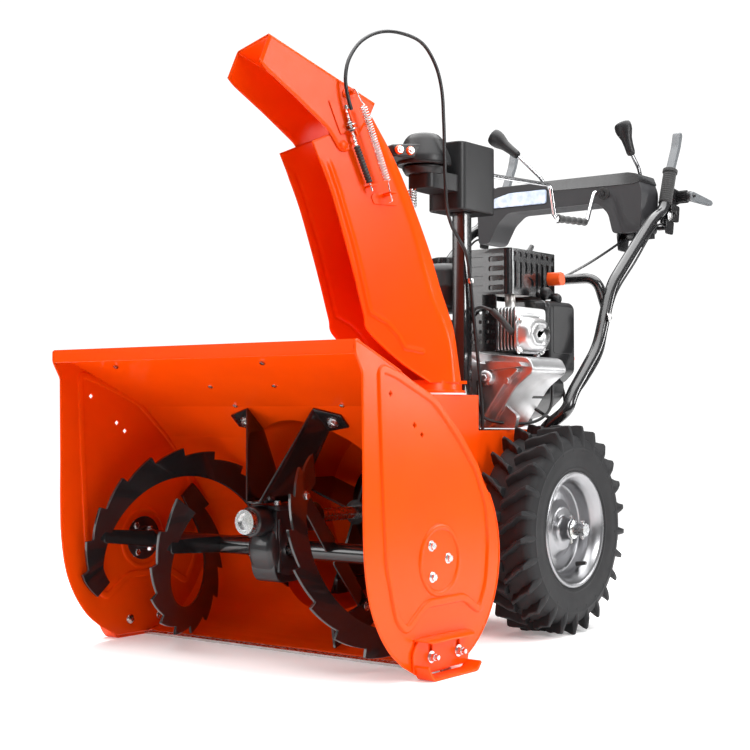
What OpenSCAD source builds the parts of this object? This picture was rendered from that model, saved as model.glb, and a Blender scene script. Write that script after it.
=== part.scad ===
// Two stage walk-behind snowblower with a 28 inch auger housing.
// Y runs from the front edge of the housing (0) to the rear lever tip before the final shift,
// X is across the machine (+X is the operator's left), Z is up from the ground.

/* [Overall] */
// Length from housing lip to the tip of the thumb lever
overall_l = 1474; // [1474:1:1480]
// Width across the outside of the side plates
housing_w = 712; // [708:2:716]
// Sheet steel thickness
sheet_t = 3; // [2.5:0.5:3]

/* [Auger and impeller] */
// Auger ribbon outer radius
auger_r = 178; // [174:1:178]
// Height of the auger shaft
auger_z = 190; // [190:1:192]
// Distance of the auger shaft behind the housing lip
auger_y = 227; // [226:1:228]
// Travel of the ribbon along the shaft in one turn
ribbon_pitch = 360; // [340:5:380]
// Impeller blade radius
impeller_r = 172; // [165:1:174]
// Height of the impeller shaft
impeller_z = 242; // [242:1:243]

/* [Chute] */
// Heading of the discharge direction about Z
chute_heading = -115; // [-125:1:-105]
// Half width of the chute between its side walls
chute_half = 72; // [70:1:74]

/* [Wheels] */
// Tyre outer radius
tyre_r = 206; // [204:1:206]
// Tyre width
tyre_w = 122; // [118:1:124]
// Distance of the axle behind the housing lip
axle_y = 742; // [740:1:744]

/* [Controls] */
// Half distance between the handlebar tubes
handle_x = 250; // [248:1:252]
// Handlebar tube radius
handle_r = 13; // [12:0.5:13]

/* [Hidden] */

// Round surfaces are true cylinders at any count above twelve
$fn = 48;

orange = [0.90, 0.27, 0.05];
dark = [0.16, 0.16, 0.17];
steel = [0.72, 0.73, 0.75];
rubber = [0.10, 0.10, 0.11];

plate_x = housing_w / 2;                 // outer face of the left side plate
bearing_angles = [0, 120, 240];          // bolts of the auger shaft's bearings
wrap_half = plate_x - sheet_t - 0.3;     // half length of the wrapped sheet
wrap_r = auger_r + 7;                    // outer radius of the wrapped sheet
strap_at = [105, 260, 424];              // bracket bolt on the outside of the sloping sheet
strap_tilt = -41.8;                      // slope of that sheet
drum_r = impeller_r + 11;                // outer radius of the impeller drum
drum_back = 608;                         // rear face of the impeller drum
shaft_r = 12.5;                          // auger, impeller and wheel shaft radius
run_gap = 0.08;                          // radial running clearance of a shaft in its bore
skin_gap = 0.4;                          // gap between neighbouring pieces
shoe_x = 390;                            // outer face of the skid shoes
chute_x = 112;                           // turning axis of the chute
chute_y = 530;
collar_z = 474;                          // underside of the chute collar
ring_r = 68;                             // throat radius under the chute
duct_half = 75;                          // half width of the square duct under the chute
cap_pivot = [214, 929];                  // deflector hinge, in the chute's forward and up axes
cap_in = chute_half + 1.5;               // inner face of the deflector's side walls
cap_out = cap_in + 2.5;
frame_half = 178;                        // half width of the traction frame
frame_y0 = 612;
frame_y1 = 880;
deck_z = 400;                            // top of the traction frame
crank_y0 = 716;                          // front end of the crank rod
crank_z0 = 925;
crank_len = 520;
crank_tilt = 2.42;
throw_len = 72;                          // depth of the crank's throw
lever_y = 1290;                          // pivot of the two control levers
lever_z = 955;
clutch_y = 1336;                         // pivot of the clutch levers
clutch_z = 908;
thumb_y = 1362;                          // pivot of the thumb lever
thumb_z = 942;

// ---- shared helpers ----

module place() {
    translate([0, -overall_l / 2, 0]) children();
}

// Points of an arc, from angle a0 to a1 in n steps
function arc(cy, cz, r, a0, a1, n) =
    [for (i = [0:n]) let (a = a0 + (a1 - a0) * i / n) [cy + r * cos(a), cz + r * sin(a)]];

// Unit direction of segment i of a line of points
function seg_dir(p, i) = let (d = p[i + 1] - p[i]) d / norm(d);

// Line of points moved sideways by d, mitred at its corners
function beside(p, d) = [for (i = [0:len(p) - 1])
    let (a = i == 0 ? seg_dir(p, 0) : seg_dir(p, i - 1),
         b = i == len(p) - 1 ? seg_dir(p, i - 1) : seg_dir(p, i),
         m = (a + b) / norm(a + b),
         k = d / (m * b))
    p[i] + k * [-m[1], m[0]]];

function reversed(p) = [for (i = [len(p) - 1:-1:0]) p[i]];

// Band of thickness t along a line of points
function band(p, t) = concat(p, reversed(beside(p, t)));

// Extrudes an outline given as [Y, Z] points along X from x0 to x1
module slab_x(x0, x1) {
    translate([x0, 0, 0]) rotate([90, 0, 90]) linear_extrude(x1 - x0) children();
}

// Extrudes an outline given as [X, Z] points along Y from y0 to y1
module slab_y(y0, y1) {
    translate([0, y1, 0]) rotate([90, 0, 0]) linear_extrude(y1 - y0) children();
}

module rod_x(x0, x1, y, z, r) {
    translate([x0, y, z]) rotate([0, 90, 0]) cylinder(h = x1 - x0, r = r);
}

module rod_y(y0, y1, x, z, r) {
    translate([x, y0, z]) rotate([-90, 0, 0]) cylinder(h = y1 - y0, r = r);
}

module rod_z(z0, z1, x, y, r) {
    translate([x, y, z0]) cylinder(h = z1 - z0, r = r);
}

module block(lo, hi) {
    translate(lo) cube(hi - lo);
}

// Straight round bar between two points
module bar(a, b, r) {
    d = b - a;
    translate(a) rotate([0, acos(d[2] / norm(d)), atan2(d[1], d[0])]) cylinder(h = norm(d), r = r);
}

// Round bar through a list of points, with a ball in each bend
module bent_bar(p, r) {
    for (i = [0:len(p) - 2]) bar(p[i], p[i + 1], r);
    if (len(p) > 2) for (i = [1:len(p) - 2]) translate(p[i]) sphere(r + 0.2);
}

module each_side() {
    children();
    mirror([1, 0, 0]) children();
}

// Two triangles over the four corners q
function split(q) = [[q[0], q[1], q[2]], [q[0], q[2], q[3]]];

// Side triangles between n rings of m points
function side_faces(n, m) = [for (i = [0:n - 2]) for (j = [0:m - 1])
    each split([i * m + j, (i + 1) * m + j, (i + 1) * m + (j + 1) % m, i * m + (j + 1) % m])];

// Faces of a closed bar of n rings with m points in each
function tube_faces(n, m) = concat([[for (j = [0:m - 1]) j]], side_faces(n, m),
    [[for (j = [m - 1:-1:0]) (n - 1) * m + j]]);

// Line of points with each bend rounded by a curve that starts r before the corner
function rounded(p, r) = concat([p[0]],
    [for (i = [1:len(p) - 2]) let (a = p[i] - r * seg_dir(p, i - 1), b = p[i] + r * seg_dir(p, i))
        for (f = [0, 0.25, 0.5, 0.75, 1])
        (1 - f) * (1 - f) * a + 2 * f * (1 - f) * p[i] + f * f * b],
    [p[len(p) - 1]]);

function route_dir(p, i) = let (d = p[min(i + 1, len(p) - 1)] - p[max(i - 1, 0)]) d / norm(d);

// Round tube swept along points, its rings squared to the route; side is never along the route
module swept_tube(p, r, sides, side = [0.96, 0.28, 0.02]) {
    pts = [for (i = [0:len(p) - 1]) let (t = route_dir(p, i), s0 = cross(t, side),
        s = s0 / norm(s0), u = cross(t, s)) for (j = [0:sides - 1])
        p[i] + r * (cos(360 * j / sides) * s + sin(360 * j / sides) * u)];
    polyhedron(pts, tube_faces(len(p), sides), convexity = 6);
}

// ---- auger housing ----

wrap_line = concat([[3.4, 549], [112, 503], [231, 450], [298, 390]],
    arc(auger_y, auger_z, wrap_r, 35, -82, 18));

plate_line = concat([[1, 551], [115, 505.5], [233, 452.5], [300, 392.5]],
    arc(auger_y, auger_z, wrap_r + 2, 35, -70, 16),
    [[245, 8.5], [167, 8.5], [125, 22], [102, 44], [52, 110], [25, 197], [22, 344], [19, 495], [1, 530]]);

// Region in front of the wrapped sheet, used to trim what meets it from behind
front_region = concat([[-60, 560]], beside(wrap_line, skin_gap), [[252, -60], [-60, -60]]);

module housing_wrap() {
    color(orange) place() difference() {
        union() {
            slab_x(-wrap_half, wrap_half) polygon(band(wrap_line, -sheet_t));
            block([-wrap_half, 0, 531], [wrap_half, 3.2, 551.5]);
            block([-wrap_half, 0, 546.5], [wrap_half, 9, 551.5]);
        }
        rod_y(258, 460, 0, impeller_z, drum_r - sheet_t);
        each_side() translate(strap_at) rotate([strap_tilt, 0, 0]) cylinder(h = 40, r = 4.3, center = true);
    }
}

module side_plate() {
    difference() {
        slab_x(plate_x - sheet_t, plate_x) polygon(plate_line);
        for (a = bearing_angles)
            rod_x(plate_x - 9, plate_x + 9, auger_y + 32 * cos(a), auger_z + 32 * sin(a), 4.3);
        for (h = [[92, 467], [158, 416], [179, 400]])
            translate([plate_x, h[0], h[1]]) rotate([45, 0, 0]) cube([20, 8, 8], center = true);
        for (y = [196, 276]) rod_x(plate_x - 9, plate_x + 9, y, 34, 5.3);
    }
}

module side_plate_left() {
    color(orange) place() side_plate();
}

module side_plate_right() {
    color(orange) place() mirror([1, 0, 0]) side_plate();
}

module impeller_drum() {
    duct = [chute_x, chute_y];
    duct_in = duct_half - sheet_t;
    color(orange) place() difference() {
        union() {
            rod_y(250, drum_back, 0, impeller_z, drum_r);
            block([duct[0] - duct_half, duct[1] - duct_half, impeller_z],
                [duct[0] + duct_half, drum_back, collar_z - 4]);
        }
        rod_y(240, drum_back - 4, 0, impeller_z, drum_r - sheet_t);
        block([duct[0] - duct_in, duct[1] - duct_in, impeller_z],
            [duct[0] + duct_in, drum_back - 4, collar_z - 8]);
        rod_z(collar_z - 20, collar_z, duct[0], duct[1], ring_r);
        slab_x(-400, 400) polygon(front_region);
        rod_y(drum_back - 9, drum_back + 9, 0, impeller_z, shaft_r + run_gap);
    }
}

module scraper_bar() {
    color(steel) place() difference() {
        block([-wrap_half, 234, 1.5], [wrap_half, 268, 6.2]);
        for (x = [-280, -140, 0, 140, 280]) rod_z(0, 9, x, 262, 4.3);
    }
}

// Bolts of the shaft bearings, skid shoes and support bracket
module housing_bolts() {
    color(steel) place() {
        each_side() {
            for (a = bearing_angles) {
                y = auger_y + 32 * cos(a);
                z = auger_z + 32 * sin(a);
                rod_x(plate_x + skin_gap, plate_x + 6, y, z, 7);
                rod_x(plate_x - 15, plate_x + skin_gap, y, z, 4);
            }
            for (y = [196, 276]) {
                rod_x(plate_x - 12, shoe_x - 22, y, 34, 5);
                rod_x(plate_x + 5, plate_x + 12, y, 34, 10);
                rod_x(plate_x - 12, plate_x - sheet_t - 0.5, y, 34, 9);
            }
            translate(strap_at) rotate([strap_tilt, 0, 0]) {
                translate([0, 0, -16]) cylinder(h = 24, r = 4);
                translate([0, 0, -14]) cylinder(h = 7, r = 8);
                translate([0, 0, skin_gap]) cylinder(h = 5, r = 8);
            }
        }
    }
}

module gear_case() {
    color(dark) place() difference() {
        union() {
            rod_x(-33, 33, auger_y, auger_z, 54);
            rod_y(150, 330, 0, impeller_z, 27);
            block([-36, 186, 236], [36, 268, 270]);
            block([-30, 180, 130], [30, 274, 180]);
        }
        rod_x(-27, 27, auger_y, auger_z, 42);
        rod_y(158, 304, 0, impeller_z, 16);
        rod_y(140, 158.1, 0, impeller_z, 20);
        rod_y(300, 340, 0, impeller_z, shaft_r + run_gap);
        rod_x(-60, 60, auger_y, auger_z, shaft_r + run_gap);
    }
}

// Front bearing cap and the lid bolts of the gear case
module gear_case_cap() {
    color(steel) place() {
        difference() {
            rod_y(136, 149.6, 0, impeller_z, 22);
            rod_y(130, 141, 0, impeller_z, 15);
        }
        for (x = [-26, 26]) for (y = [196, 258]) rod_z(270.3, 278, x, y, 6.5);
    }
}

// Strap from the gear case lid up to the two bolts in the housing
module support_bracket() {
    color(rubber) place() difference() {
        union() {
            block([-32, 206, 270.5], [32, 248, 274.5]);
            each_side() hull() {
                translate([14, 234, 273]) cube([26, 10, 3], center = true);
                translate(strap_at) rotate([strap_tilt, 0, 0]) translate([0, -4, -5.2])
                    cube([44, 44, 3], center = true);
            }
        }
        each_side() translate(strap_at) rotate([strap_tilt, 0, 0]) {
            cylinder(h = 60, r = 4.4, center = true);
            translate([0, 0, -40]) cylinder(h = 33.1, r = 9);
        }
    }
}

module auger_bearings() {
    color(steel) place() each_side() difference() {
        union() {
            rod_x(plate_x - 8.5, plate_x - sheet_t - 0.2, auger_y, auger_z, 42);
            rod_x(plate_x - 13, plate_x - sheet_t - 0.2, auger_y, auger_z, 21.7);
        }
        rod_x(plate_x - 30, plate_x + 30, auger_y, auger_z, shaft_r + run_gap);
        for (a = bearing_angles)
            rod_x(plate_x - 30, plate_x + 30, auger_y + 32 * cos(a), auger_z + 32 * sin(a), 4.3);
    }
}

// Shoe with two vertical slots, so it can be set lower as it wears
module skid_shoe() {
    x0 = plate_x + skin_gap;
    difference() {
        union() {
            block([x0, 148, 10], [x0 + 4, 312, 68]);
            slab_x(x0, shoe_x) polygon([[164, 0], [296, 0], [312, 12], [309, 16], [294, 5],
                [165, 5], [149, 22], [145, 19]]);
            block([x0, 160, 63], [shoe_x - 10, 302, 68]);
        }
        for (y = [196, 276]) {
            rod_x(x0 - 3, x0 + 9, y, 34, 5.6);
            rod_x(x0 - 3, x0 + 9, y, 54, 5.6);
            block([x0 - 3, y - 5.6, 34], [x0 + 9, y + 5.6, 54]);
        }
    }
}

module skid_shoe_left() {
    color(orange) place() skid_shoe();
}

module skid_shoe_right() {
    color(orange) place() mirror([1, 0, 0]) skid_shoe();
}

module slip_ring() {
    color("white") place() difference() {
        rod_z(collar_z - 3.6, collar_z - 0.4, chute_x, chute_y, 82);
        rod_z(collar_z - 9, collar_z + 9, chute_x, chute_y, ring_r);
    }
}

// ---- augers and impeller ----

tooth_step = 21;          // angle between ribbon teeth
ribbon_in = 124;          // inner radius of the ribbon
tooth_depth = 15;
ribbon_t = 6;
left_start = 186;         // place on the shaft of the left ribbon at angle zero
right_start = 138;

// Stations of one ribbon: angle and outer radius, with a sudden drop behind each tooth
function ribbon_stations(a0, a1) = [for (k = [0:floor((a1 - a0) / tooth_step)]) for (f = [0, 0.5, 0.95])
    [a0 + tooth_step * (k + f), auger_r - tooth_depth * (1 - f / 0.95)]];

// Flat ribbon wound about the auger shaft, angle zero facing forwards and positive upwards
module ribbon(a0, a1, start) {
    st = ribbon_stations(a0, a1);
    pts = [for (s = st) for (c = [[-1, ribbon_in], [-1, s[1]], [1, s[1]], [1, ribbon_in]])
        [start - s[0] * ribbon_pitch / 360 + c[0] * ribbon_t / 2,
         auger_y - c[1] * cos(s[0]), auger_z + c[1] * sin(s[0])]];
    polyhedron(pts, tube_faces(len(st), 4), convexity = 6);
}

// Flat arm from the tube out to the ribbon at angle a
module ribbon_arm(a, start) {
    translate([start - a * ribbon_pitch / 360, auger_y, auger_z]) rotate([-a, 0, 0])
        translate([-3, -ribbon_in - 14, -17]) cube([6, ribbon_in + 14 - 14, 34]);
}

// Tube with two ribbons; sides_up is the ribbon place at angle zero
module auger(start) {
    difference() {
        union() {
            rod_x(46, 342, auger_y, auger_z, 17);
            for (turn = [0, 180]) {
                a0 = start + turn - 336;
                ribbon(a0, a0 + 230, start + turn);
                for (a = [a0 + 24, a0 + 200]) ribbon_arm(a, start + turn);
            }
        }
        rod_x(0, 400, auger_y, auger_z, shaft_r + run_gap);
    }
}

module auger_left() {
    color(rubber) place() auger(left_start);
}

module auger_right() {
    color(rubber) place() mirror([1, 0, 0]) auger(right_start);
}

// Shaft with its four shear bolts
module auger_shaft() {
    color(steel) place() {
        rod_x(-plate_x + sheet_t + 0.5, plate_x - sheet_t - 0.5, auger_y, auger_z, shaft_r);
        for (x = [-332, -62, 62, 332]) for (s = [0, 1]) translate([x, auger_y, auger_z])
            mirror([0, 0, s]) translate([0, 0, 17.3]) cylinder(h = 5, r = 5.5);
    }
}

// Bronze wheel with 24 shallow teeth
module worm_gear() {
    teeth = 24;
    outline = [for (i = [0:teeth - 1]) for (c = [[0, 36.5], [0.25, 36.5], [0.4, 39.4], [0.85, 39.4]])
        let (a = 360 * (i + c[0]) / teeth) [auger_y + c[1] * cos(a), auger_z + c[1] * sin(a)]];
    color([0.75, 0.55, 0.25]) place() difference() {
        slab_x(-11, 11) polygon(outline);
        rod_x(-30, 30, auger_y, auger_z, shaft_r + 0.05);
    }
}

module impeller() {
    blades = 4;
    color(dark) place() difference() {
        union() {
            rod_y(455, 590, 0, impeller_z, 24);
            for (i = [0:blades - 1]) translate([0, 455, impeller_z])
                rotate([0, 20 + 360 / blades * i, 0]) {
                    translate([15, 0, -2.5]) cube([impeller_r - 15, 130, 5]);
                    translate([impeller_r - 30, 0, 0]) rotate([0, -18, 0]) cube([28, 130, 5]);
                }
            rod_y(585, 590, 0, impeller_z, 110);
        }
        rod_y(400, 640, 0, impeller_z, shaft_r + 0.05);
    }
}

// Impeller shaft with the worm on its front end
module impeller_shaft() {
    color(steel) place() {
        rod_y(305, 650, 0, impeller_z, shaft_r);
        rod_y(160, 306, 0, impeller_z, 9);
        for (i = [-3:3]) rod_y(auger_y + i * 10.5 - 2.5, auger_y + i * 10.5 + 2.5, 0, impeller_z, 12.1);
    }
}

module pulley(y, z, r, bore) {
    difference() {
        union() {
            rod_y(y - 14, y + 14, 0, z, r - 9);
            for (s = [-1, 1]) rod_y(y + 11 * s - 3, y + 11 * s + 3, 0, z, r);
        }
        rod_y(y - 30, y + 30, 0, z, bore);
    }
}

module impeller_pulley() {
    color(steel) place() pulley(632, impeller_z, 95, shaft_r + 0.05);
}

// ---- chute and deflector, drawn with +X forward along the discharge and +Y to the left ----

module in_chute() {
    place() translate([chute_x, chute_y, 0]) rotate([0, 0, chute_heading]) children();
}

// Extrudes an outline given as [forward, up] across the chute from s0 to s1
module slab_s(s0, s1) {
    translate([0, s1, 0]) rotate([90, 0, 0]) linear_extrude(s1 - s0) children();
}

// Chute stations: front edge, back fold and outer back as [forward, up]
chute_stations = [
    [[30, 492], [-24, 492], [-54, 492]],
    [[95, 531], [-17, 560], [-38, 590]],
    [[161, 585], [2, 614], [-25, 630]],
    [[172, 619], [24, 658], [-9, 672]],
    [[190, 685], [57, 765], [18, 749]],
    [[210, 753], [93, 857], [60, 848]],
    [[238, 840], [126, 925], [97, 922]],
    [[277, 932], [160, 984], [141, 992]]];

function chute_ring(s, wall) = let (h = chute_half, b = 52)
    [[s[0][0], -h, s[0][1]], [s[1][0], -h, s[1][1]], [s[2][0], -b, s[2][1]],
     [s[2][0], b, s[2][1]], [s[1][0], h, s[1][1]], [s[0][0], h, s[0][1]],
     [s[0][0], h - wall, s[0][1]], [s[1][0] + wall, h - wall, s[1][1]],
     [s[2][0] + wall, b - 1, s[2][1]], [s[2][0] + wall, 1 - b, s[2][1]],
     [s[1][0] + wall, wall - h, s[1][1]], [s[0][0], wall - h, s[0][1]]];

// Ends are closed across the wall alone, so the shell stays open at its mouth
function shell_faces(n, m) = let (h = m / 2, k = (n - 1) * m) concat(
    [for (j = [0:h - 2]) each split([j, j + 1, m - 2 - j, m - 1 - j])], side_faces(n, m),
    [for (j = [0:h - 2]) each split([k + j + 1, k + j, k + m - 1 - j, k + m - 2 - j])]);

module chute() {
    color(orange) in_chute() {
        difference() {
            polyhedron([for (s = chute_stations) each reversed(chute_ring(s, 2.5))],
                shell_faces(len(chute_stations), 12), convexity = 6);
            translate([cap_pivot[0], 0, cap_pivot[1]]) rotate([90, 0, 0])
                cylinder(h = 200, r = 4.3, center = true);
        }
        difference() {
            union() {
                translate([0, 0, collar_z]) cylinder(h = 4, r = 80);
                translate([0, 0, collar_z]) cylinder(h = 23, r = 71);
            }
            translate([0, 0, collar_z - 1]) cylinder(h = 30, r = ring_r);
        }
    }
}

module deflector_cap() {
    side = [[148, 1014], [363, 1119], [383, 1067], [372, 1054], [310, 1007], [244, 954],
        [222, 916], [205, 915], [192, 934], [160, 987]];
    color(orange) in_chute() difference() {
        union() {
            for (s = [-1, 1]) slab_s(s * (cap_in + cap_out) / 2 - 1.25, s * (cap_in + cap_out) / 2 + 1.25)
                polygon(side);
            slab_s(-cap_out, cap_out) polygon(band([[148, 1014], [363, 1119]], -2.5));
        }
        translate([cap_pivot[0], 0, cap_pivot[1]]) rotate([90, 0, 0])
            cylinder(h = 200, r = 4.3, center = true);
    }
}

// Cable bracket on the deflector with the threaded barrel and its bellows
module cable_end_fitting() {
    color(dark) in_chute() {
        slab_s(cap_out + skin_gap, cap_out + 3) polygon([[246, 1009], [221, 948], [200, 955], [212, 990]]);
        slab_s(cap_out + skin_gap, cap_out + 14) polygon([[214, 990], [196, 950], [192, 952], [210, 992]]);
        bar([213, cap_out + 12, 992], [194, cap_out + 12, 931], 4);
        bar([194, cap_out + 12, 931], [166, cap_out + 12, 862], 8);
    }
}

// Extension spring between the deflector and a tab on the chute, as a plain round bar
module deflector_spring() {
    color(steel) in_chute() {
        bar([203, cap_out + 26, 1027], [185, cap_out + 26, 996], 3);
        bar([185, cap_out + 26, 996], [137, cap_out + 26, 865], 8);
        bar([137, cap_out + 26, 865], [124, cap_out + 26, 830], 3);
        bar([203, cap_out + skin_gap, 1027], [203, cap_out + 29, 1027], 4);
        bar([124, chute_half + skin_gap, 830], [124, cap_out + 29, 830], 4);
    }
}

// Route of the deflector cable, from the threaded barrel over to the gear head; it turns with the chute
cable_route = [[110, 303, 992], [106, 296, 1020], [103, 294, 1052], [101, 308, 1090],
    [101, 345, 1130], [103, 400, 1158], [116, 450, 1164], [136, 490, 1150], [152, 512, 1110],
    [161, 521, 1060], [164, 523, 1000], [162, 524, 988]];

module deflector_cable() {
    color(rubber) place() swept_tube(cable_route, 3.5, 8);
}

// ---- gear head, post and crank ----

// Domed cover that turns with the chute, with the arm bolted to the chute's back
module gear_head_cover() {
    color(dark) in_chute() difference() {
        union() {
            translate([0, 0, 918]) cylinder(h = 40, r = 52);
            translate([0, 0, 958]) cylinder(h = 16, r = 40);
            translate([0, 0, 974]) cylinder(h = 7, r = 28);
            block([30, -36, 926], [92, 36, 950]);
        }
        translate([0, 0, 910]) cylinder(h = 58, r = shaft_r - 2 + run_gap);
        slab_s(-90, 90) polygon([[84, 880], [170, 1040], [260, 1040], [260, 880]]);
    }
}

module gear_head_base() {
    color(dark) place() {
        difference() {
            union() {
                block([72, 590, 836], [160, 724, 975]);
                block([84, 500, 868], [146, 600, 908]);
                rod_z(868, 916, chute_x, chute_y, 40);
                rod_z(868, 966, chute_x, chute_y, shaft_r - 2);
            }
            rod_y(713, 740, 128, crank_z0, 12);
            block([100, 630, 820], [140, 672, 915.5]);
        }
        rod_z(850, 867.6, 98, 505, 9);
    }
}

module chute_post() {
    color(dark) place() difference() {
        block([105, 636, deck_z + skin_gap], [135, 666, 915]);
        block([108, 639, deck_z], [140, 663, 912]);
    }
}

module in_crank() {
    place() translate([128, crank_y0, crank_z0]) rotate([crank_tilt, 0, 0]) children();
}

throw_y0 = 272;
throw_y1 = 474;
module crank_rod() {
    color(steel) in_crank()
        bent_bar([[0, 0, 0], [0, throw_y0, 0], [0, throw_y0 + 16, -throw_len],
            [0, throw_y1 - 40, -throw_len], [0, throw_y1, 0], [0, crank_len, 0]], 5);
}

module crank_grip() {
    color(rubber) in_crank() difference() {
        rod_y(throw_y0 + 24, throw_y1 - 48, 0, -throw_len, 12);
        rod_y(throw_y0, throw_y1, 0, -throw_len, 5 + run_gap);
    }
}

// ---- traction drive ----

module traction_frame() {
    wall = 3;
    color(orange) place() difference() {
        block([-frame_half, frame_y0, 112], [frame_half, frame_y1, deck_z]);
        block([-frame_half + wall, frame_y0 + wall, 100], [frame_half - wall, frame_y1 - wall, deck_z - wall]);
        rod_x(-300, 300, axle_y, tyre_r, shaft_r + run_gap);
        block([-100, 600, 140], [100, 650, 420]);
    }
}

module belt_cover() {
    color(rubber) place() difference() {
        block([-92, 612, deck_z + skin_gap], [92, 655, 545]);
        block([-89, 615, deck_z - 9], [89, 665, 542]);
    }
}

// Drive belt between the engine pulley and the impeller pulley
module drive_belt() {
    line = concat(arc(0, 480, 47, 0, 180, 12), arc(0, impeller_z, 97.5, 180, 360, 20));
    color(rubber) place() slab_y(626, 638) difference() {
        polygon(line);
        polygon(concat(arc(0, 480, 39, 0, 180, 12), arc(0, impeller_z, 89.5, 180, 360, 20)));
    }
}

// Axle with its differential case and the wheel pins
module axle() {
    color(steel) place() {
        rod_x(-350, 350, axle_y, tyre_r, shaft_r);
        rod_x(-60, 60, axle_y, tyre_r, 55);
        for (x = [-342, 342]) rod_z(tyre_r - 18, tyre_r + 18, x, axle_y, 3.5);
    }
}

wheel_x = 272;
bead_r = 102;
module in_wheel() {
    place() translate([wheel_x, axle_y, tyre_r]) rotate([0, 90, 0]) children();
}

module tyre() {
    h = tyre_w / 2;
    in_wheel() rotate_extrude($fn = 96) polygon([[bead_r + 1, -h + 22], [112, -h + 10], [135, -h + 1], [170, -h],
        [195, -h + 9], [tyre_r, -h + 22], [tyre_r, h - 22], [195, h - 9], [170, h], [135, h - 1],
        [112, h - 10], [bead_r + 1, h - 22], [bead_r + 1, h - 30], [116, h - 26], [150, h - 12],
        [186, h - 20], [194, h - 34], [194, -h + 34], [186, -h + 20], [150, -h + 12], [116, -h + 26],
        [bead_r + 1, -h + 30]]);
}

module tyre_left() {
    color(rubber) tyre();
}

module tyre_right() {
    color(rubber) mirror([1, 0, 0]) tyre();
}

module rim() {
    in_wheel() rotate_extrude($fn = 96) polygon([[shaft_r + run_gap, -30], [24, -30], [24, 22], [60, 14],
        [88, 10], [88, -36], [97, -44], [110, -56], [112, -52], [100, -40], [92, -32], [92, 32],
        [100, 40], [112, 52], [110, 56], [97, 46], [88, 36], [88, 14], [60, 18], [24, 28], [20, 50],
        [shaft_r + run_gap, 50]]);
}

module rim_left() {
    color(steel) rim();
}

module rim_right() {
    color(steel) mirror([1, 0, 0]) rim();
}

// ---- engine ----

module crankcase() {
    color(steel) place() {
        difference() {
            slab_y(700, 850) polygon([[-108, 404], [146, 404], [206, 488], [252, 522], [236, 548],
                [120, 558], [60, 600], [-70, 600], [-108, 540]]);
            rod_y(690, 800, 0, 480, 60);
        }
        rod_y(660, 800.5, 0, 480, 12);
        difference() {
            pulley(632, 480, 44, 1);
            rod_y(600, 700, 0, 480, 1);
        }
        rod_y(645, 661, 0, 480, 12);
    }
}

module cylinder_head() {
    color(steel) place() {
        block([128, 716, 560], [166, 836, 650]);
        for (x = [172, 184, 196]) block([x, 716, 560], [x + 5, 836, 650]);
        block([166, 740, 574], [208, 812, 636]);
    }
}

module valve_cover() {
    color(steel) place() hull() {
        block([208.5, 712, 556], [216, 814, 632]);
        block([216, 722, 564], [240, 804, 624]);
    }
}

module muffler() {
    color(steel) place() {
        hull() {
            block([40, 790, 690], [154, 940, 758]);
            block([50, 782, 698], [144, 948, 750]);
        }
        rod_z(650.4, 691, 141, 800, 12);
    }
}

// Slotted guard over the muffler
module muffler_guard() {
    lo = [25, 768, 681];
    hi = [160, 960, 778];
    wall = 2.5;
    color(dark) place() difference() {
        block(lo, hi);
        block(lo + [wall, wall, -9], hi - [wall, wall, wall]);
        for (i = [0:3]) block([lo[0] + 12, lo[1] - 5, lo[2] + 12 + 20 * i],
            [hi[0] - 44, lo[1] + 5, lo[2] + 24 + 20 * i]);
        for (i = [0:3]) block([hi[0] - 34, lo[1] - 5, lo[2] + 12 + 20 * i],
            [hi[0] - 8, lo[1] + 5, lo[2] + 24 + 20 * i]);
        for (i = [0:7]) block([hi[0] - 5, lo[1] + 12 + 22 * i, lo[2] + 14],
            [hi[0] + 5, lo[1] + 24 + 22 * i, hi[2] - 22]);
        for (i = [0:7]) block([lo[0] + 12, lo[1] + 12 + 22 * i, hi[2] - 5],
            [hi[0] - 12, lo[1] + 24 + 22 * i, hi[2] + 5]);
    }
}

// Flywheel shroud, side cowl and recoil starter cover
module blower_housing() {
    color(rubber) place() difference() {
        union() {
            block([-120, 852, 404], [120, 930, 640]);
            slab_y(852, 957) polygon([[110, 498], [180, 498], [205, 520], [205, 662], [197, 672], [110, 672]]);
            slab_y(838, 853) polygon([[110, 603], [118, 562], [205, 562], [205, 662], [197, 672], [110, 672]]);
            rod_y(929, 975, 0, 510, 100);
        }
        rod_y(965, 980, -60, 570, 7);
        rod_y(947, 960, 182, 552, 18);
    }
}

module fuel_tank() {
    color(rubber) place() hull() {
        block([-180, 770, 662], [10, 930, 745]);
        block([-170, 780, 656], [0, 920, 758]);
    }
}

module fuel_cap() {
    color(rubber) place() {
        rod_z(758.4, 776, -60, 850, 28);
    }
}

// Pull handle of the recoil starter, with its rope stub
module recoil_handle() {
    color(rubber) place() {
        rod_y(966, 984, -60, 570, 4);
        hull() {
            rod_y(983, 997, -85, 570, 9, $fn = 24);
            rod_y(983, 997, -35, 570, 9, $fn = 24);
        }
    }
}

module primer_bulb() {
    color(orange) place() {
        rod_y(957.4, 967, 182, 552, 17);
        translate([182, 968, 552]) sphere(14);
    }
}

module choke_knob() {
    color(rubber) place() {
        rod_z(672.4, 684, 190, 862, 5);
        translate([190, 862, 692]) sphere(12);
    }
}

// ---- handlebars and controls ----

handle_line = [[frame_half + handle_r + skin_gap, 828, 330], [frame_half + handle_r + skin_gap, 836, 396],
    [handle_x, 846, 440], [handle_x, 866, 474], [handle_x, 978, 574], [handle_x, 1040, 712], [handle_x, 1240, 880],
    [handle_x, 1300, 903], [handle_x, 1336, 1004]];

handle_bend = 26;
module handlebar(r = handle_r) {
    swept_tube(rounded(handle_line, handle_bend), r, 16);
}

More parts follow.
